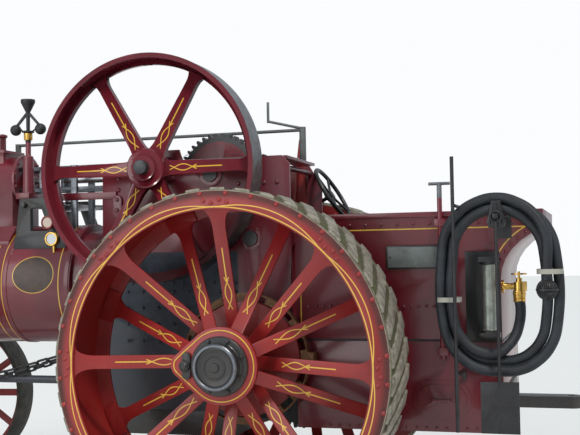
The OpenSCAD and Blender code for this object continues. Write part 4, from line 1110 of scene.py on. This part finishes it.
@dataclass
class Studio:
    """Floor, light and the camera at the photograph's viewpoint."""

    eye: Point = (-2.8054, 6.3054, 1.5962)
    yaw: float = math.radians(17.04)
    pitch: float = math.radians(2.125)
    roll: float = math.radians(-1.05)
    focal_pixels: float = 1019.66
    picture_width: int = 580
    pale: Colour = (0.80, 0.81, 0.80)

    def build(self) -> None:
        """Builds the whole studio."""
        self._camera()
        self._floor()
        self._sky()
        self._lamps()
        bpy.context.scene.view_settings.view_transform = "Standard"

    def _camera(self) -> None:
        """Sets the camera where the photograph was taken from."""
        forward = Vector((math.sin(self.yaw) * math.cos(self.pitch), -math.cos(self.yaw) * math.cos(self.pitch),
                          math.sin(self.pitch)))
        right = forward.cross(Vector((0, 0, 1))).normalized()
        up = right.cross(forward)
        c, s = math.cos(self.roll), math.sin(self.roll)
        right, up = c * right + s * up, c * up - s * right
        data = bpy.data.cameras.new("viewpoint")
        data.sensor_width = 36.0
        data.lens = self.focal_pixels / self.picture_width * data.sensor_width
        camera = Bench.show("viewpoint", data)
        camera.matrix_world = Matrix.Translation(self.eye) @ Matrix((right, up, -forward)).transposed().to_4x4()
        bpy.context.scene.camera = camera

    def _floor(self) -> None:
        """Lays the pale floor."""
        floor = Bench.fresh(bpy.ops.mesh.primitive_plane_add, size=120, location=(0, 0, 0))
        floor.name = "studio_floor"
        mix = Recipe("studio_floor")
        grain = mix.noise(0.7, 3.0)
        tone = mix.mix(grain * 0.06, self.pale, tuple(0.92 * part for part in self.pale))
        floor.data.materials.append(mix.surface(Base_Color=tone, Roughness=0.95))
        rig.stage(floor)

    def _sky(self) -> None:
        """Gives an even pale sky, a little darker for lighting than it looks."""
        sky = Recipe("studio_sky", bpy.data.worlds)
        seen, through = (sky.node("ShaderNodeLightPath", {}, {}, f"Is {ray} Ray") for ray in ("Camera", "Transmission"))
        lit, shown = (sky.node("ShaderNodeBackground", {}, {"Color": colour, "Strength": strength})
                      for colour, strength in (((0.86, 0.93, 1.0), 0.62), ((0.97, 0.98, 1.0), 1.0)))
        both = sky.node("ShaderNodeMixShader", {}, {0: seen.most(through), 1: lit, 2: shown})
        bpy.context.scene.world = sky.end(both, "ShaderNodeOutputWorld")

    def _lamps(self) -> None:
        """Hangs a high sun behind the photographer's right and a wide soft lamp on the left."""
        sun = bpy.data.lights.new("sun", "SUN")
        sun.energy, sun.angle, sun.color = 1.7, math.radians(8), (1.0, 0.96, 0.90)
        Bench.show("sun", sun).rotation_euler = Vector((0.42, -0.50, -1.0)).to_track_quat("-Z", "Y").to_euler()
        soft = bpy.data.lights.new("soft_box", "AREA")
        soft.energy, soft.size = 260, 6
        near = Bench.show("soft_box", soft)
        near.location = (3.5, 7.5, 4.0)
        near.rotation_euler = (Vector((0, 0, 1.3)) - near.location).to_track_quat("-Z", "Y").to_euler()


@dataclass
class RearWheel:
    """A driving wheel: its ring, spokes, hub, rivets and the earth on its tread."""

    side: float
    finishes: Finishes
    edge_y: float = 1.080
    width: float = 0.462
    tread: float = 0.973
    spoke_count: int = 8
    hub_face: float = 1.000
    plate_radius: float = 0.217
    nose: float = 0.297
    cap_radius: float = 0.130
    cap_face: float = 0.100
    pin_ahead: float = 0.205
    strake_top: float = 0.017
    leads: Flat = (1.0, -2.0)

    @property
    def name(self) -> str:
        """Returns left or right."""
        return "left" if self.side > 0 else "right"

    def keep(self, piece: bpy.types.Object, name: str, finish: str, *replaced: str,
             shading: Shading | None = Shading.CREASED) -> None:
        """Keeps a piece on this wheel.

        Args:
            piece: The piece.
            name: Its name, with braces where left or right stands.
            finish: Its finish.
            replaced: CAD nodes that it stands for, with braces likewise.
            shading: How it is smoothed; None leaves it as it is.
        """
        nodes = [node.format(self.name) for node in replaced]
        place = self.finishes.on(finish, f"rear_wheel_{self.name}")
        Bench.keep(piece, name.format(self.name), place, *nodes, shading=shading)

    def out(self, *distances: float) -> list[float]:
        """Returns the Y places at distances outward from the centre plane, lowest first."""
        return sorted(self.side * distance for distance in distances)

    def spot(self, distance: float, ahead: float = 0.0) -> Point:
        """Returns the point on the axle at an outward distance, or ahead of it."""
        return AXLE_X + ahead, self.side * distance, AXLE_Z

    def turned(self, profile: Sequence[Flat], start: float = 0.0, steps: int = 72,
               ahead: float = 0.0) -> bpy.types.Object:
        """Turns a piece about the axle, or about a line ahead of it.

        Args:
            profile: Pairs of radius and outward distance.
            start: Where those distances start.
            steps: Faces round the piece.
            ahead: Distance of its own line ahead of the axle.

        Returns:
            The piece.
        """
        return Bench.turned([(r, self.side * d) for r, d in profile], self.spot(start, ahead), Axis.Y, steps)

    def build(self) -> None:
        """Builds the wheel's pieces."""
        for part, bevel in (("ring", 0.0015), ("spokes", 0.0025)):
            node = "rear_rim_{}" if part == "ring" else "rear_spokes_{}"
            self.keep(Bench.from_node(node.format(self.name), bevel), f"rear_{part}_{{}}_worked", f"wheel_{part}",
                      node, shading=None)
        self._hub()
        self._rivets()
        self._earth()
        self._tyre_edges()

    def _hub(self) -> None:
        """Builds the hub plate with its nose, the cap, its bolts and the driving pin."""
        face, edge, top = self.hub_face, self.cap_radius, self.cap_face
        plate = Bench.plate(self._plate_outline(0.0), *self.out(face - 0.022, face + 0.004), Axis.Y, 0.004)
        self.keep(plate, "hub_plate_{}", "wheel_red")
        line = [(x, self.side * (face + 0.0042), z) for x, z in self._plate_outline(0.020)]
        self.keep(Bench.tube(line, 0.0036, closed=True), "hub_plate_line_{}", "lining")
        cap = [(0.0, -0.010), (edge + 0.036, -0.010), (edge + 0.036, 0.024), (edge + 0.031, 0.029),
               (edge + 0.004, 0.030), (edge - 0.001, 0.034), (edge - 0.001, top - 0.010), (0.106, top - 0.010),
               (0.100, top - 0.007), (0.094, top - 0.010), (0.066, top - 0.010), (0.063, top - 0.006),
               (0.058, top - 0.006), (0.055, top - 0.010), (0.028, top - 0.010), (0.024, top - 0.003),
               (0.010, top - 0.002), (0.0, top - 0.002)]
        self.keep(self.turned(cap, face), "hub_cap_{}", "black", "rear_cap_{}")
        rim = [(edge - 0.022, top - 0.011), (edge - 0.020, top - 0.003), (edge - 0.016, top), (edge - 0.006, top),
               (edge, top - 0.006), (edge, top - 0.050), (edge - 0.002, top - 0.052)]
        self.keep(self.turned(rim, face), "hub_cap_bright_edge_{}", "tyre_steel")
        bolts = ring_spots(self.spot(face + 0.029), edge + 0.018, 8, 22.5, self.side)
        self.keep(Bench.nuts(bolts, 0.012, 0.012), "hub_cap_bolts_{}", "black")
        pin = self.turned([(0.0, 0.0), (0.034, 0.0), (0.034, 0.026), (0.030, 0.032), (0.020, 0.034), (0.020, 0.042),
                           (0.014, 0.047), (0.0, 0.047)], face, 36, self.pin_ahead)
        nut = Bench.nuts([(self.spot(face + 0.026, self.pin_ahead), (0, self.side, 0))], 0.029, 0.018)
        ends = long_round((AXLE_X + self.pin_ahead - 0.008, AXLE_Z), 0.026, 0.050, 0.050, 32)
        lug = Bench.plate(ends, *self.out(face - 0.001, face + 0.022), Axis.Y, 0.004)
        self.keep(Bench.join([pin, nut, lug]), "driving_pin_{}", "black")

    def _plate_outline(self, inset: float) -> list[Flat]:
        """Gives the hub plate's outline: a disc drawn out to a blunt nose at the front.

        Args:
            inset: How far inside the edge the outline runs.

        Returns:
            Its points in X and Z.
        """
        big, small, far = self.plate_radius - inset, 0.070 - inset, self.nose - 0.070
        lean = math.acos((big - small) / far)
        arcs = [(far, small, lean * (k / 5 - 1)) for k in range(11)]
        arcs += [(0.0, big, lean + (math.tau - 2 * lean) * k / 48) for k in range(49)]
        return [(AXLE_X + u + radius * math.cos(a), AXLE_Z + radius * math.sin(a)) for u, radius, a in arcs]

    def _rivets(self) -> None:
        """Sets four rivets on every palm, on both rings, and forty along the outer ring's edge."""
        rings = ((self.edge_y - 0.001, self.side), (self.edge_y - self.width + 0.001, -self.side))
        spots = ring_spots(self.spot(rings[0][0]), 0.957, 40, 4.5, self.side)
        for number, (distance, way) in enumerate(rings):
            start = self.leads[number] + 180 / self.spoke_count * number
            for along, radius in ((-0.072, 0.918), (-0.026, 0.903), (0.022, 0.921), (0.066, 0.908)):
                turn = start + math.degrees(along / radius)
                spots += ring_spots(self.spot(distance), radius, self.spoke_count, turn, way)
        self.keep(Bench.domes(spots, 0.0145, 0.008), "palm_rivets_{}", "wheel_red", shading=None)

    def _earth(self) -> None:
        """Cakes the tread between the strakes with earth and grass."""
        rows = ((-0.004, 0.030), (0.002, 0.045), (0.007, 0.08), (0.0085, 0.15), (0.0080, 0.23), (0.0085, 0.31),
                (0.007, 0.38), (0.002, self.width - 0.045), (-0.004, self.width - 0.030))
        inner = self.edge_y - self.width
        band = self.turned([(self.tread + high, inner + across) for high, across in rows], 0.0, 220)
        texture = bpy.data.textures.new(f"tread_clods_{self.name}", "CLOUDS")
        texture.noise_scale = 0.05
        texture.noise_depth = 3
        Bench.apply(band, "SUBSURF", levels=1, render_levels=1)
        Bench.apply(band, "DISPLACE", texture=texture, strength=0.012, mid_level=0.62, texture_coords="LOCAL")
        self._hold_inside(band, self.tread + self.strake_top - 0.001)
        self.keep(band, "tread_earth_{}", "mud", shading=Shading.ROUND)

    def _tyre_edges(self) -> None:
        """Rolls the worn lip of the tyre at both edges of the tread, where the strakes end."""
        lip = ((0.968, 0.0005), (0.9745, 0.0005), (0.9765, 0.003), (0.9770, 0.014), (0.9755, 0.026), (0.968, 0.028))
        lips = [self.turned([(r, edge + way * d) for r, d in lip], 0.0, 160)
                for edge, way in ((self.edge_y, -1.0), (self.edge_y - self.width, 1.0))]
        self.keep(Bench.join(lips), "tyre_edges_{}", "strake")

    @staticmethod
    def _hold_inside(band: bpy.types.Object, limit: float) -> None:
        """Moves points that stand out past a radius about the axle back to it."""
        for vertex in band.data.vertices:
            x, z = vertex.co.x - AXLE_X, vertex.co.z - AXLE_Z
            radius = math.hypot(x, z)
            if radius > limit:
                vertex.co.x, vertex.co.z = AXLE_X + x * limit / radius, AXLE_Z + z * limit / radius


@dataclass
class SuctionHose:
    """The coiled suction hose that hangs on the tender's hook, with its strainer and straps."""

    finishes: Finishes
    centre: Flat = (COIL_X, COIL_Z)
    diameter: float = 0.057
    straight: float = 0.185
    strands: tuple[tuple[float, float, float], ...] = (
        (0.25, 0.1555, 0.7575), (0.50, 0.2405, 0.7575), (0.75, 0.2405, 0.7575), (0.875, 0.2325, 0.7625),
        (1.00, 0.2405, 0.7575), (1.25, 0.2050, 0.7125), (1.50, 0.2700, 0.7050), (1.75, 0.2700, 0.7050),
        (2.00, 0.3000, 0.7575), (2.25, 0.2565, 0.7575), (2.50, 0.3000, 0.7575), (2.75, 0.3000, 0.7575),
        (2.875, 0.2830, 0.8000), (3.0, 0.2600, 0.8300))

    def route(self) -> list[Point]:
        """Gives the hose's line, from the valve on the tender to the strainer.

        Returns:
            Its points.
        """
        start = ((1.600, 0.600, 1.368), (1.600, 0.602, 1.335), (1.606, 0.616, 1.285), (1.600, 0.654, 1.205),
                 (1.574, 0.700, 1.130), (1.536, 0.740, 1.085))
        points: list[Point] = [(AXLE_X - back, y, z) for back, y, z in start]
        steps = 16
        for number in range(steps // 4, int(steps * 2.94) + 1):
            turn = number / steps
            radius, y = self._strand(turn)
            angle = math.tau * (turn % 1.0)
            half = [-1.0, 1.0] if number % (steps // 2) == 0 else [-1.0 if math.sin(angle) > 0 else 1.0]
            if number % steps == 0:
                half = half[::-1]
            points += [self._on_loop(angle, radius, y, side) for side in half]
        x, y, z = self._end()
        return points + [(x - 0.004, y - 0.030, z + 0.230), (x, y - 0.020, z + 0.120), (x, y - 0.004, z + 0.030)]

    def _strand(self, turn: float) -> Flat:
        """Reads the strand's radius and distance from the centre plane at a number of turns."""
        for (t0, r0, y0), (t1, r1, y1) in zip(self.strands, self.strands[1:]):
            if t0 <= turn <= t1:
                part = (turn - t0) / (t1 - t0)
                return r0 + (r1 - r0) * part, y0 + (y1 - y0) * part
        return self.strands[-1][1:]

    def _on_loop(self, angle: float, radius: float, y: float, half: float) -> Point:
        """Gives a point of the long loop.

        Args:
            angle: Angle from the rear side, downwards first.
            radius: Radius of its round ends.
            y: Its distance from the centre plane.
            half: -1 on the lower round end and 1 on the upper one.

        Returns:
            The point.
        """
        x, z = self.centre
        return (x - radius * math.cos(angle), y, z + half * self.straight - radius * math.sin(angle))

    @staticmethod
    def _end() -> Vector:
        """Returns the middle of the strainer."""
        low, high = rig.box("hose_strainer")
        return (Vector(low) + Vector(high)) / 2

    def build(self) -> None:
        """Builds the hose and what is on it."""
        hose = Bench.tube(self.route(), self.diameter / 2, bends=True, sides=24)
        hose.data.name = "hose"
        length, path = self._measured()
        strainer = self._strainer()
        x, z = self.centre
        straps = [self._strap("strap_front", (x + 0.270, 0.731, z - 0.060), (0.064, 0.062)),
                  self._strap("strap_rear", (x - 0.270, 0.775, z + 0.088), (0.066, 0.106))]
        sleeve = [(0.0, -0.050), (0.031, -0.050), (0.033, -0.046), (0.033, -0.030), (0.031, -0.028), (0.033, -0.026),
                  (0.033, -0.012), (0.036, -0.008), (0.036, 0.0), (0.0, 0.0)]
        ferrule = Bench.keep(Bench.turned(sleeve, path[0], Axis.Z, 32), "hose_ferrule", self.finishes.on("brass"))
        Bench.keep(hose, "suction_hose", self.finishes.on("rubber"), "hose_coil", "hose_tail", shading=Shading.ROUND)
        LOG.info("hose length %.3f m", length)
        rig.cord(hose, exit=path[0], length=length, diameter=self.diameter, far_end="fitting", stiffness="medium",
                lay="coiled", path=path, with_pieces=[strainer, ferrule, *straps])

    def _measured(self) -> tuple[float, list[Point]]:
        """Lays the smooth line through the route's points and measures it.

        Returns:
            Its length, and closely spaced points on it.
        """
        line = Bench.show("hose_line", Bench.curve(self.route(), True, resolution_u=12))
        mesh = line.to_mesh()
        path = [tuple(vertex.co) for vertex in mesh.vertices]
        line.to_mesh_clear()
        bpy.data.objects.remove(line)
        return sum(math.dist(a, b) for a, b in zip(path, path[1:])), path

    def _strainer(self) -> bpy.types.Object:
        """Builds the perforated ball on the hose's end."""
        ball = Bench.fresh(bpy.ops.mesh.primitive_uv_sphere_add, segments=28, ring_count=16, radius=0.056)
        with Bench.edited():
            bpy.ops.mesh.inset(thickness=0.0022, depth=-0.003, use_individual=True)
        middle = self._end()
        ball.location = middle
        Bench.settle(ball)
        ring = Bench.turned([(0.046, -0.004), (0.058, -0.004), (0.058, 0.004), (0.046, 0.004), (0.046, -0.004)],
                            tuple(middle), Axis.Z, 32)
        return Bench.keep(Bench.join([ball, ring]), "strainer_ball", self.finishes.on("black"), "hose_strainer")

    def _strap(self, name: str, middle: Point, half: Flat) -> bpy.types.Object:
        """Ties a flat strap round the strands.

        Args:
            name: The strap's name.
            middle: The middle of the strands there.
            half: Half its width along X and along Y.

        Returns:
            The strap.
        """
        (x, y, z), (half_x, half_y) = middle, half
        outline = [(half_x * math.copysign(abs(math.cos(a)) ** 0.45, math.cos(a)),
                    half_y * math.copysign(abs(math.sin(a)) ** 0.6, math.sin(a)))
                   for a in (math.tau * k / 36 for k in range(36))]
        band = Bench.plate([(x + u, y + v) for u, v in outline], z - 0.013, z + 0.013, Axis.Z)
        with Bench.edited():
            bpy.ops.mesh.select_mode(type="FACE")
            bpy.ops.mesh.select_all(action="DESELECT")
        for face in band.data.polygons:
            face.select = abs(face.normal.z) > 0.9
        bpy.ops.object.mode_set(mode="EDIT")
        bpy.ops.mesh.delete(type="ONLY_FACE")
        bpy.ops.object.mode_set(mode="OBJECT")
        Bench.apply(band, "SOLIDIFY", thickness=0.004, offset=0.0)
        return Bench.keep(band, name, self.finishes.on("webbing"))


@dataclass
class SideDetails:
    """Rivets, plates, gauges and small fittings on the engine's left side and its mirror side."""

    finishes: Finishes
    plate_face: float = 0.380
    tender_face: float = 0.528

    def build(self) -> None:
        """Builds all the small fittings."""
        self._tender_rivets()
        self._name_plate()
        self._hornplate_rivets()
        self._tie_plates()
        self._gauges()
        self._governor()
        self._shaft_end()
        self._chains()
        self._hook_horn()

    def _heads(self, spots: Sequence[Spot], size: Flat, name: str, finish: str) -> None:
        """Sets round heads on the body.

        Args:
            spots: Their places.
            size: Radius and height of a head.
            name: Their name.
            finish: Their finish.
        """
        Bench.keep(Bench.domes(spots, *size), name, self.finishes.on(finish), shading=None)

    def _hook_horn(self) -> None:
        """Forges the ribbed horn that keeps the coil on its hook."""
        y = 0.795
        half = ((0.024, 1.868), (0.034, 1.812), (0.051, 1.752), (0.042, 1.724))
        horn = [(COIL_X + u, z) for u, z in half] + [(COIL_X - u, z) for u, z in half[::-1]]
        ribs = [Bench.tube([(COIL_X + lean * u, y + rise, z) for u, rise, z in
                            ((0.028, 0.016, 1.858), (0.040, 0.017, 1.800), (0.060, 0.016, 1.740))],
                           0.005, bends=True, sides=12) for lean in (-0.6, 0.0, 0.6)]
        plate = Bench.plate(horn, y, y + 0.016, Axis.Y, 0.005)
        Bench.keep(Bench.join([plate, *ribs]), "hook_horn", self.finishes.on("black"))

    def _chains(self) -> None:
        """Links up both steering chains, from the shaft under the boiler to the ends of the front axle."""
        pieces, count = [], 21
        for side in (1.0, -1.0):
            start, end = Vector((AXLE_X + 1.262, side * 0.140, 0.999)), Vector((AXLE_X + 2.797, side * 0.400, 0.572))
            link = Bench.tube([(u, 0.0, v) for u, v in long_round((0.0, 0.0), 0.017, 0.026, 0.026, 16)],
                              0.0085, sides=8, closed=True)
            turns = [Matrix.Rotation(math.radians(angle), 4, "Z") for angle in (45, 135)]
            pieces.append(Bench.copies(link, [facing(end - start, start.lerp(end, (k + 0.5) / count)) @ turns[k % 2]
                                              for k in range(count)]))
        Bench.keep(Bench.join(pieces), "steering_chain_links", self.finishes.on("iron"), "steering_chains",
                   shading=Shading.ROUND)

    def _tender_rivets(self) -> None:
        """Rivets both sides of the tender along its top, its seam, its foot and its swept rear edge."""
        face, foot = self.tender_face - 0.0005, 0.5195
        rows = (((-0.36, 1.764), (-1.66, 1.764), 15, face), ((-0.38, 1.293), (-1.25, 1.293), 21, face),
                ((-1.478, 1.13), (-1.478, 1.40), 7, face), ((-0.38, 0.606), (-1.46, 0.606), 20, foot))
        spots = []
        for side in (1.0, -1.0):
            way = (0.0, side, 0.0)
            for (x0, z0), (x1, z1), count, y in rows:
                spots += row_spots((AXLE_X + x0, side * y, z0), (AXLE_X + x1, side * y, z1), count, way)
            for turn in (math.radians(4 + 8 * step) for step in range(8)):
                spots.append(((AXLE_X - 1.895 + 0.418 * math.cos(turn), side * face, 1.440 + 0.328 * math.sin(turn)),
                              way))
        self._heads(spots, (0.0095, 0.006), "tender_rivets", "maroon")

    def _name_plate(self) -> None:
        """Screws the blank plate to the left side of the tender."""
        x0, x1, z0, z1, y = AXLE_X - 1.176, AXLE_X - 0.850, 1.506, 1.640, self.tender_face
        plate = Bench.box((x0, y - 0.001, z0), (x1, y + 0.005, z1), 0.004)
        Bench.keep(plate, "blank_plate", self.finishes.on("black"))
        face = Bench.box((x0 + 0.009, y + 0.003, z0 + 0.009), (x1 - 0.009, y + 0.0065, z1 - 0.009), 0.002)
        Bench.keep(face, "blank_plate_face", self.finishes.on("grey"))
        self._heads([((x, y + 0.006, z0 + 0.067), (0.0, 1.0, 0.0)) for x in (x0 + 0.022, x1 - 0.022)],
                    (0.006, 0.003), "blank_plate_screws", "iron")

    def _hornplate_rivets(self) -> None:
        """Sets the firebox stays' heads and the bolts along the front edge of both hornplates."""
        stay_rows = [(0.862, z, 8) for z in (0.965, 1.070, 1.175, 1.277, 1.380)] + [(0.900, 1.436, 12)]
        bolt_rows = (((0.935, 1.62), (0.925, 1.84), 4), ((0.918, 2.035), (0.918, 2.105), 2),
                     ((-0.15, 2.045), (0.10, 2.045), 4))
        stays, bolts = [], []
        for side in (1.0, -1.0):
            y, way = side * (self.plate_face - 0.0005), (0.0, side, 0.0)
            for end, z, count in stay_rows:
                stays += row_spots((AXLE_X + 0.130, y, z), (AXLE_X + end, y, z), count, way)
            for (x0, z0), (x1, z1), count in bolt_rows:
                bolts += row_spots((AXLE_X + x0, y, z0), (AXLE_X + x1, y, z1), count, way)
        clear = [spot for spot in stays if math.hypot(spot[0][0] - AXLE_X, spot[0][2] - AXLE_Z) > 0.13]
        self._heads(clear, (0.0125, 0.008), "firebox_stay_heads", "slate")
        self._heads(bolts, (0.0145, 0.010), "hornplate_bolts", "maroon")

    def _tie_plates(self) -> None:
        """Bolts the tie bars between the hornplates and the slide bars' bracket, with their rounded feet."""
        for side, name in ((1.0, "left"), (-1.0, "right")):
            face = self.plate_face
            low, high = sorted((side * face, side * (face + 0.012)))
            foot = Bench.plate(long_round((AXLE_X + 0.925, 1.905), 0.033, 0.062, 0.012, 40), low, high, Axis.Y, 0.003)
            bar = Bench.box((AXLE_X + 0.93, low, 1.979), (AXLE_X + 1.40, high, 2.026), 0.003)
            low, high = sorted((side * 0.324, side * (face + 0.001)))
            lug = Bench.box((AXLE_X + 1.36, low, 1.955), (AXLE_X + 1.40, high, 2.026), 0.003)
            Bench.keep(Bench.join([foot, bar, lug]), f"tie_plate_{name}", self.finishes.on("maroon"))
            self._heads([((AXLE_X + 0.924, side * (face + 0.0115), z), (0.0, side, 0.0)) for z in (1.905, 1.972)],
                        (0.0145, 0.009), f"tie_plate_bolts_{name}", "maroon")

    def _gauges(self) -> None:
        """Fits the round gauge and the blank round badge on the left motion bracket."""
        for name, x, z, radius, rim_finish, face in (("gauge", 1.427, 1.733, 0.044, "brass", "glass"),
                                                     ("badge", 1.457, 1.842, 0.042, "wheel_red", "cream")):
            centre = (AXLE_X + x, 0.332, z)
            rim = Bench.turned([(0.0, -0.012), (radius, -0.012), (radius + 0.004, -0.006), (radius + 0.004, 0.016),
                                (radius, 0.022), (radius - 0.006, 0.022), (radius - 0.008, 0.015), (0.0, 0.015)],
                               centre, Axis.Y, 48)
            if name == "gauge":
                stem = Bench.cylinder((AXLE_X + x - 0.012, 0.334, z - 0.066), 0.010, 0.05, Axis.Z, 20, 0.002)
                rim = Bench.join([rim, stem])
            Bench.keep(rim, f"{name}_rim", self.finishes.on(rim_finish, slot="brass"))
            dial = Bench.turned([(0.0, 0.0165), (radius - 0.009, 0.0165), (radius - 0.009, 0.013), (0.0, 0.013)],
                                centre, Axis.Y, 48)
            Bench.keep(dial, f"{name}_face", self.finishes.on(face))

    def _governor(self) -> None:
        """Adds the governor's lower links, brass sleeve and collars."""
        x, y = AXLE_X + 1.680, 0.205
        sleeve = Bench.turned([(0.013, 0.0), (0.027, 0.0), (0.029, 0.004), (0.029, 0.046), (0.025, 0.050),
                               (0.013, 0.050)], (x, y, 2.412), Axis.Z, 40)
        Bench.keep(sleeve, "governor_sleeve", self.finishes.on("brass", "governor"))
        collar = Bench.turned([(0.012, 0.0), (0.040, 0.0), (0.042, 0.004), (0.034, 0.012), (0.012, 0.012)],
                              (x, y, 2.464), Axis.Z, 40)
        links = [Bench.tube([(x + s * 0.034, y, 2.470), (x + s * 0.088, y, 2.512)], 0.006) for s in (1, -1)]
        Bench.keep(Bench.join([collar, *links]), "governor_links", self.finishes.on("iron", "governor"))

    def _shaft_end(self) -> None:
        """Marks the turning centre in the flywheel end of the crankshaft."""
        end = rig.box("crankshaft")[1][1]
        hole = Bench.turned([(0.0, 0.0), (0.004, 0.001), (0.009, 0.002), (0.010, 0.001), (0.010, 0.0), (0.0, 0.0)],
                            (CRANK_X, end - 0.0025, CRANK_Z), Axis.Y, 24)
        Bench.keep(hole, "shaft_centre", self.finishes.on("iron", "crank", "bright_steel"))


@dataclass
class Worked:
    """A CAD node that keeps its shape and gets eased edges and a finish."""

    node: str
    finish: str
    body: str = "root"
    slot: str | None = None
    bevel: float = 0.002

    def build(self, finishes: Finishes) -> None:
        """Eases and paints the node."""
        Bench.keep(Bench.from_node(self.node, self.bevel), self.node + "_finished",
                   finishes.on(self.finish, self.body, self.slot), self.node, shading=None)


WORKED = [
    Worked("boiler_barrel", "barrel"),
    Worked("smokebox", "black"),
    Worked("smokebox_door", "black", "smokebox_door"),
    Worked("chimney", "black"),
    Worked("firebox", "slate"),
    Worked("ashpan", "black"),
    Worked("firehole_door", "iron", "firehole_door"),
    Worked("hornplate_left", "hornplate"),
    Worked("hornplate_right", "hornplate"),
    Worked("cylinder_block", "maroon"),
    Worked("motion_bracket", "black"),
    Worked("slide_bars", "tyre_steel"),
    Worked("crosshead", "steel"),
    Worked("governor_stand", "maroon"),
    Worked("governor_head", "iron", "governor"),
    Worked("crankshaft", "grease", "crank", "bright_steel"),
    Worked("flywheel", "flywheel", "crank"),
    Worked("connecting_rod", "steel", "connecting_rod"),
    Worked("eccentric_rod_ahead", "steel", "eccentric_ahead"),
    Worked("eccentric_rod_astern", "steel", "eccentric_astern"),
    Worked("second_shaft", "gears", "second_shaft", bevel=0.0),
    Worked("third_shaft", "grease", "third_shaft", bevel=0.0),
    Worked("rear_axle", "grease", "rear_wheel_right", bevel=0.0),
    Worked("brake_drum", "wheel_red", "rear_wheel_left"),
    Worked("brake_band", "timber"),
    Worked("brake_column", "column"),
    Worked("tender_side_left", "tender"),
    Worked("tender_side_right", "tender"),
    Worked("tender_back", "maroon"),
    Worked("tender_tank", "maroon"),
    Worked("footplate", "iron"),
    Worked("drawbar", "black"),
    Worked("rope_guide", "rope_guide"),
    Worked("hose_hook", "black"),
    Worked("hose_valve", "brass"),
    Worked("valve_gear", "steel"),
    Worked("fire_irons", "iron"),
    Worked("regulator_gear", "grey", slot="bright_steel"),
    Worked("backhead_fittings", "brass"),
    Worked("reversing_gear", "wheel_red"),
    Worked("steering_column", "black"),
    Worked("steering_wheel", "black", "steering_wheel"),
    Worked("perch_bracket", "black"),
    Worked("front_axle", "black", "front_axle"),
    Worked("front_wheel_left", "front_wheel", "front_wheel_left"),
    Worked("front_wheel_right", "front_wheel", "front_wheel_right"),
    Worked("feed_pipe", "slate", slot="black_paint"),
]


def main() -> None:
    """Builds the engine's looks in order."""
    logging.basicConfig(level=logging.INFO, format="%(name)s: %(message)s")
    FRAME.update(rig.load())
    cad_box = [list(corner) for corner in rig.bounds()]
    Studio().build()
    finishes = Finishes()
    SuctionHose(finishes).build()
    for side in (1.0, -1.0):
        RearWheel(side, finishes).build()
    SideDetails(finishes).build()
    for row in WORKED:
        row.build(finishes)
    visual_box = [list(corner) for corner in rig.bounds()]
    with open("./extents.json", "w", encoding="utf-8") as file:
        json.dump({"cad": cad_box, "visual": visual_box}, file)


if __name__ == "__main__":
    main()
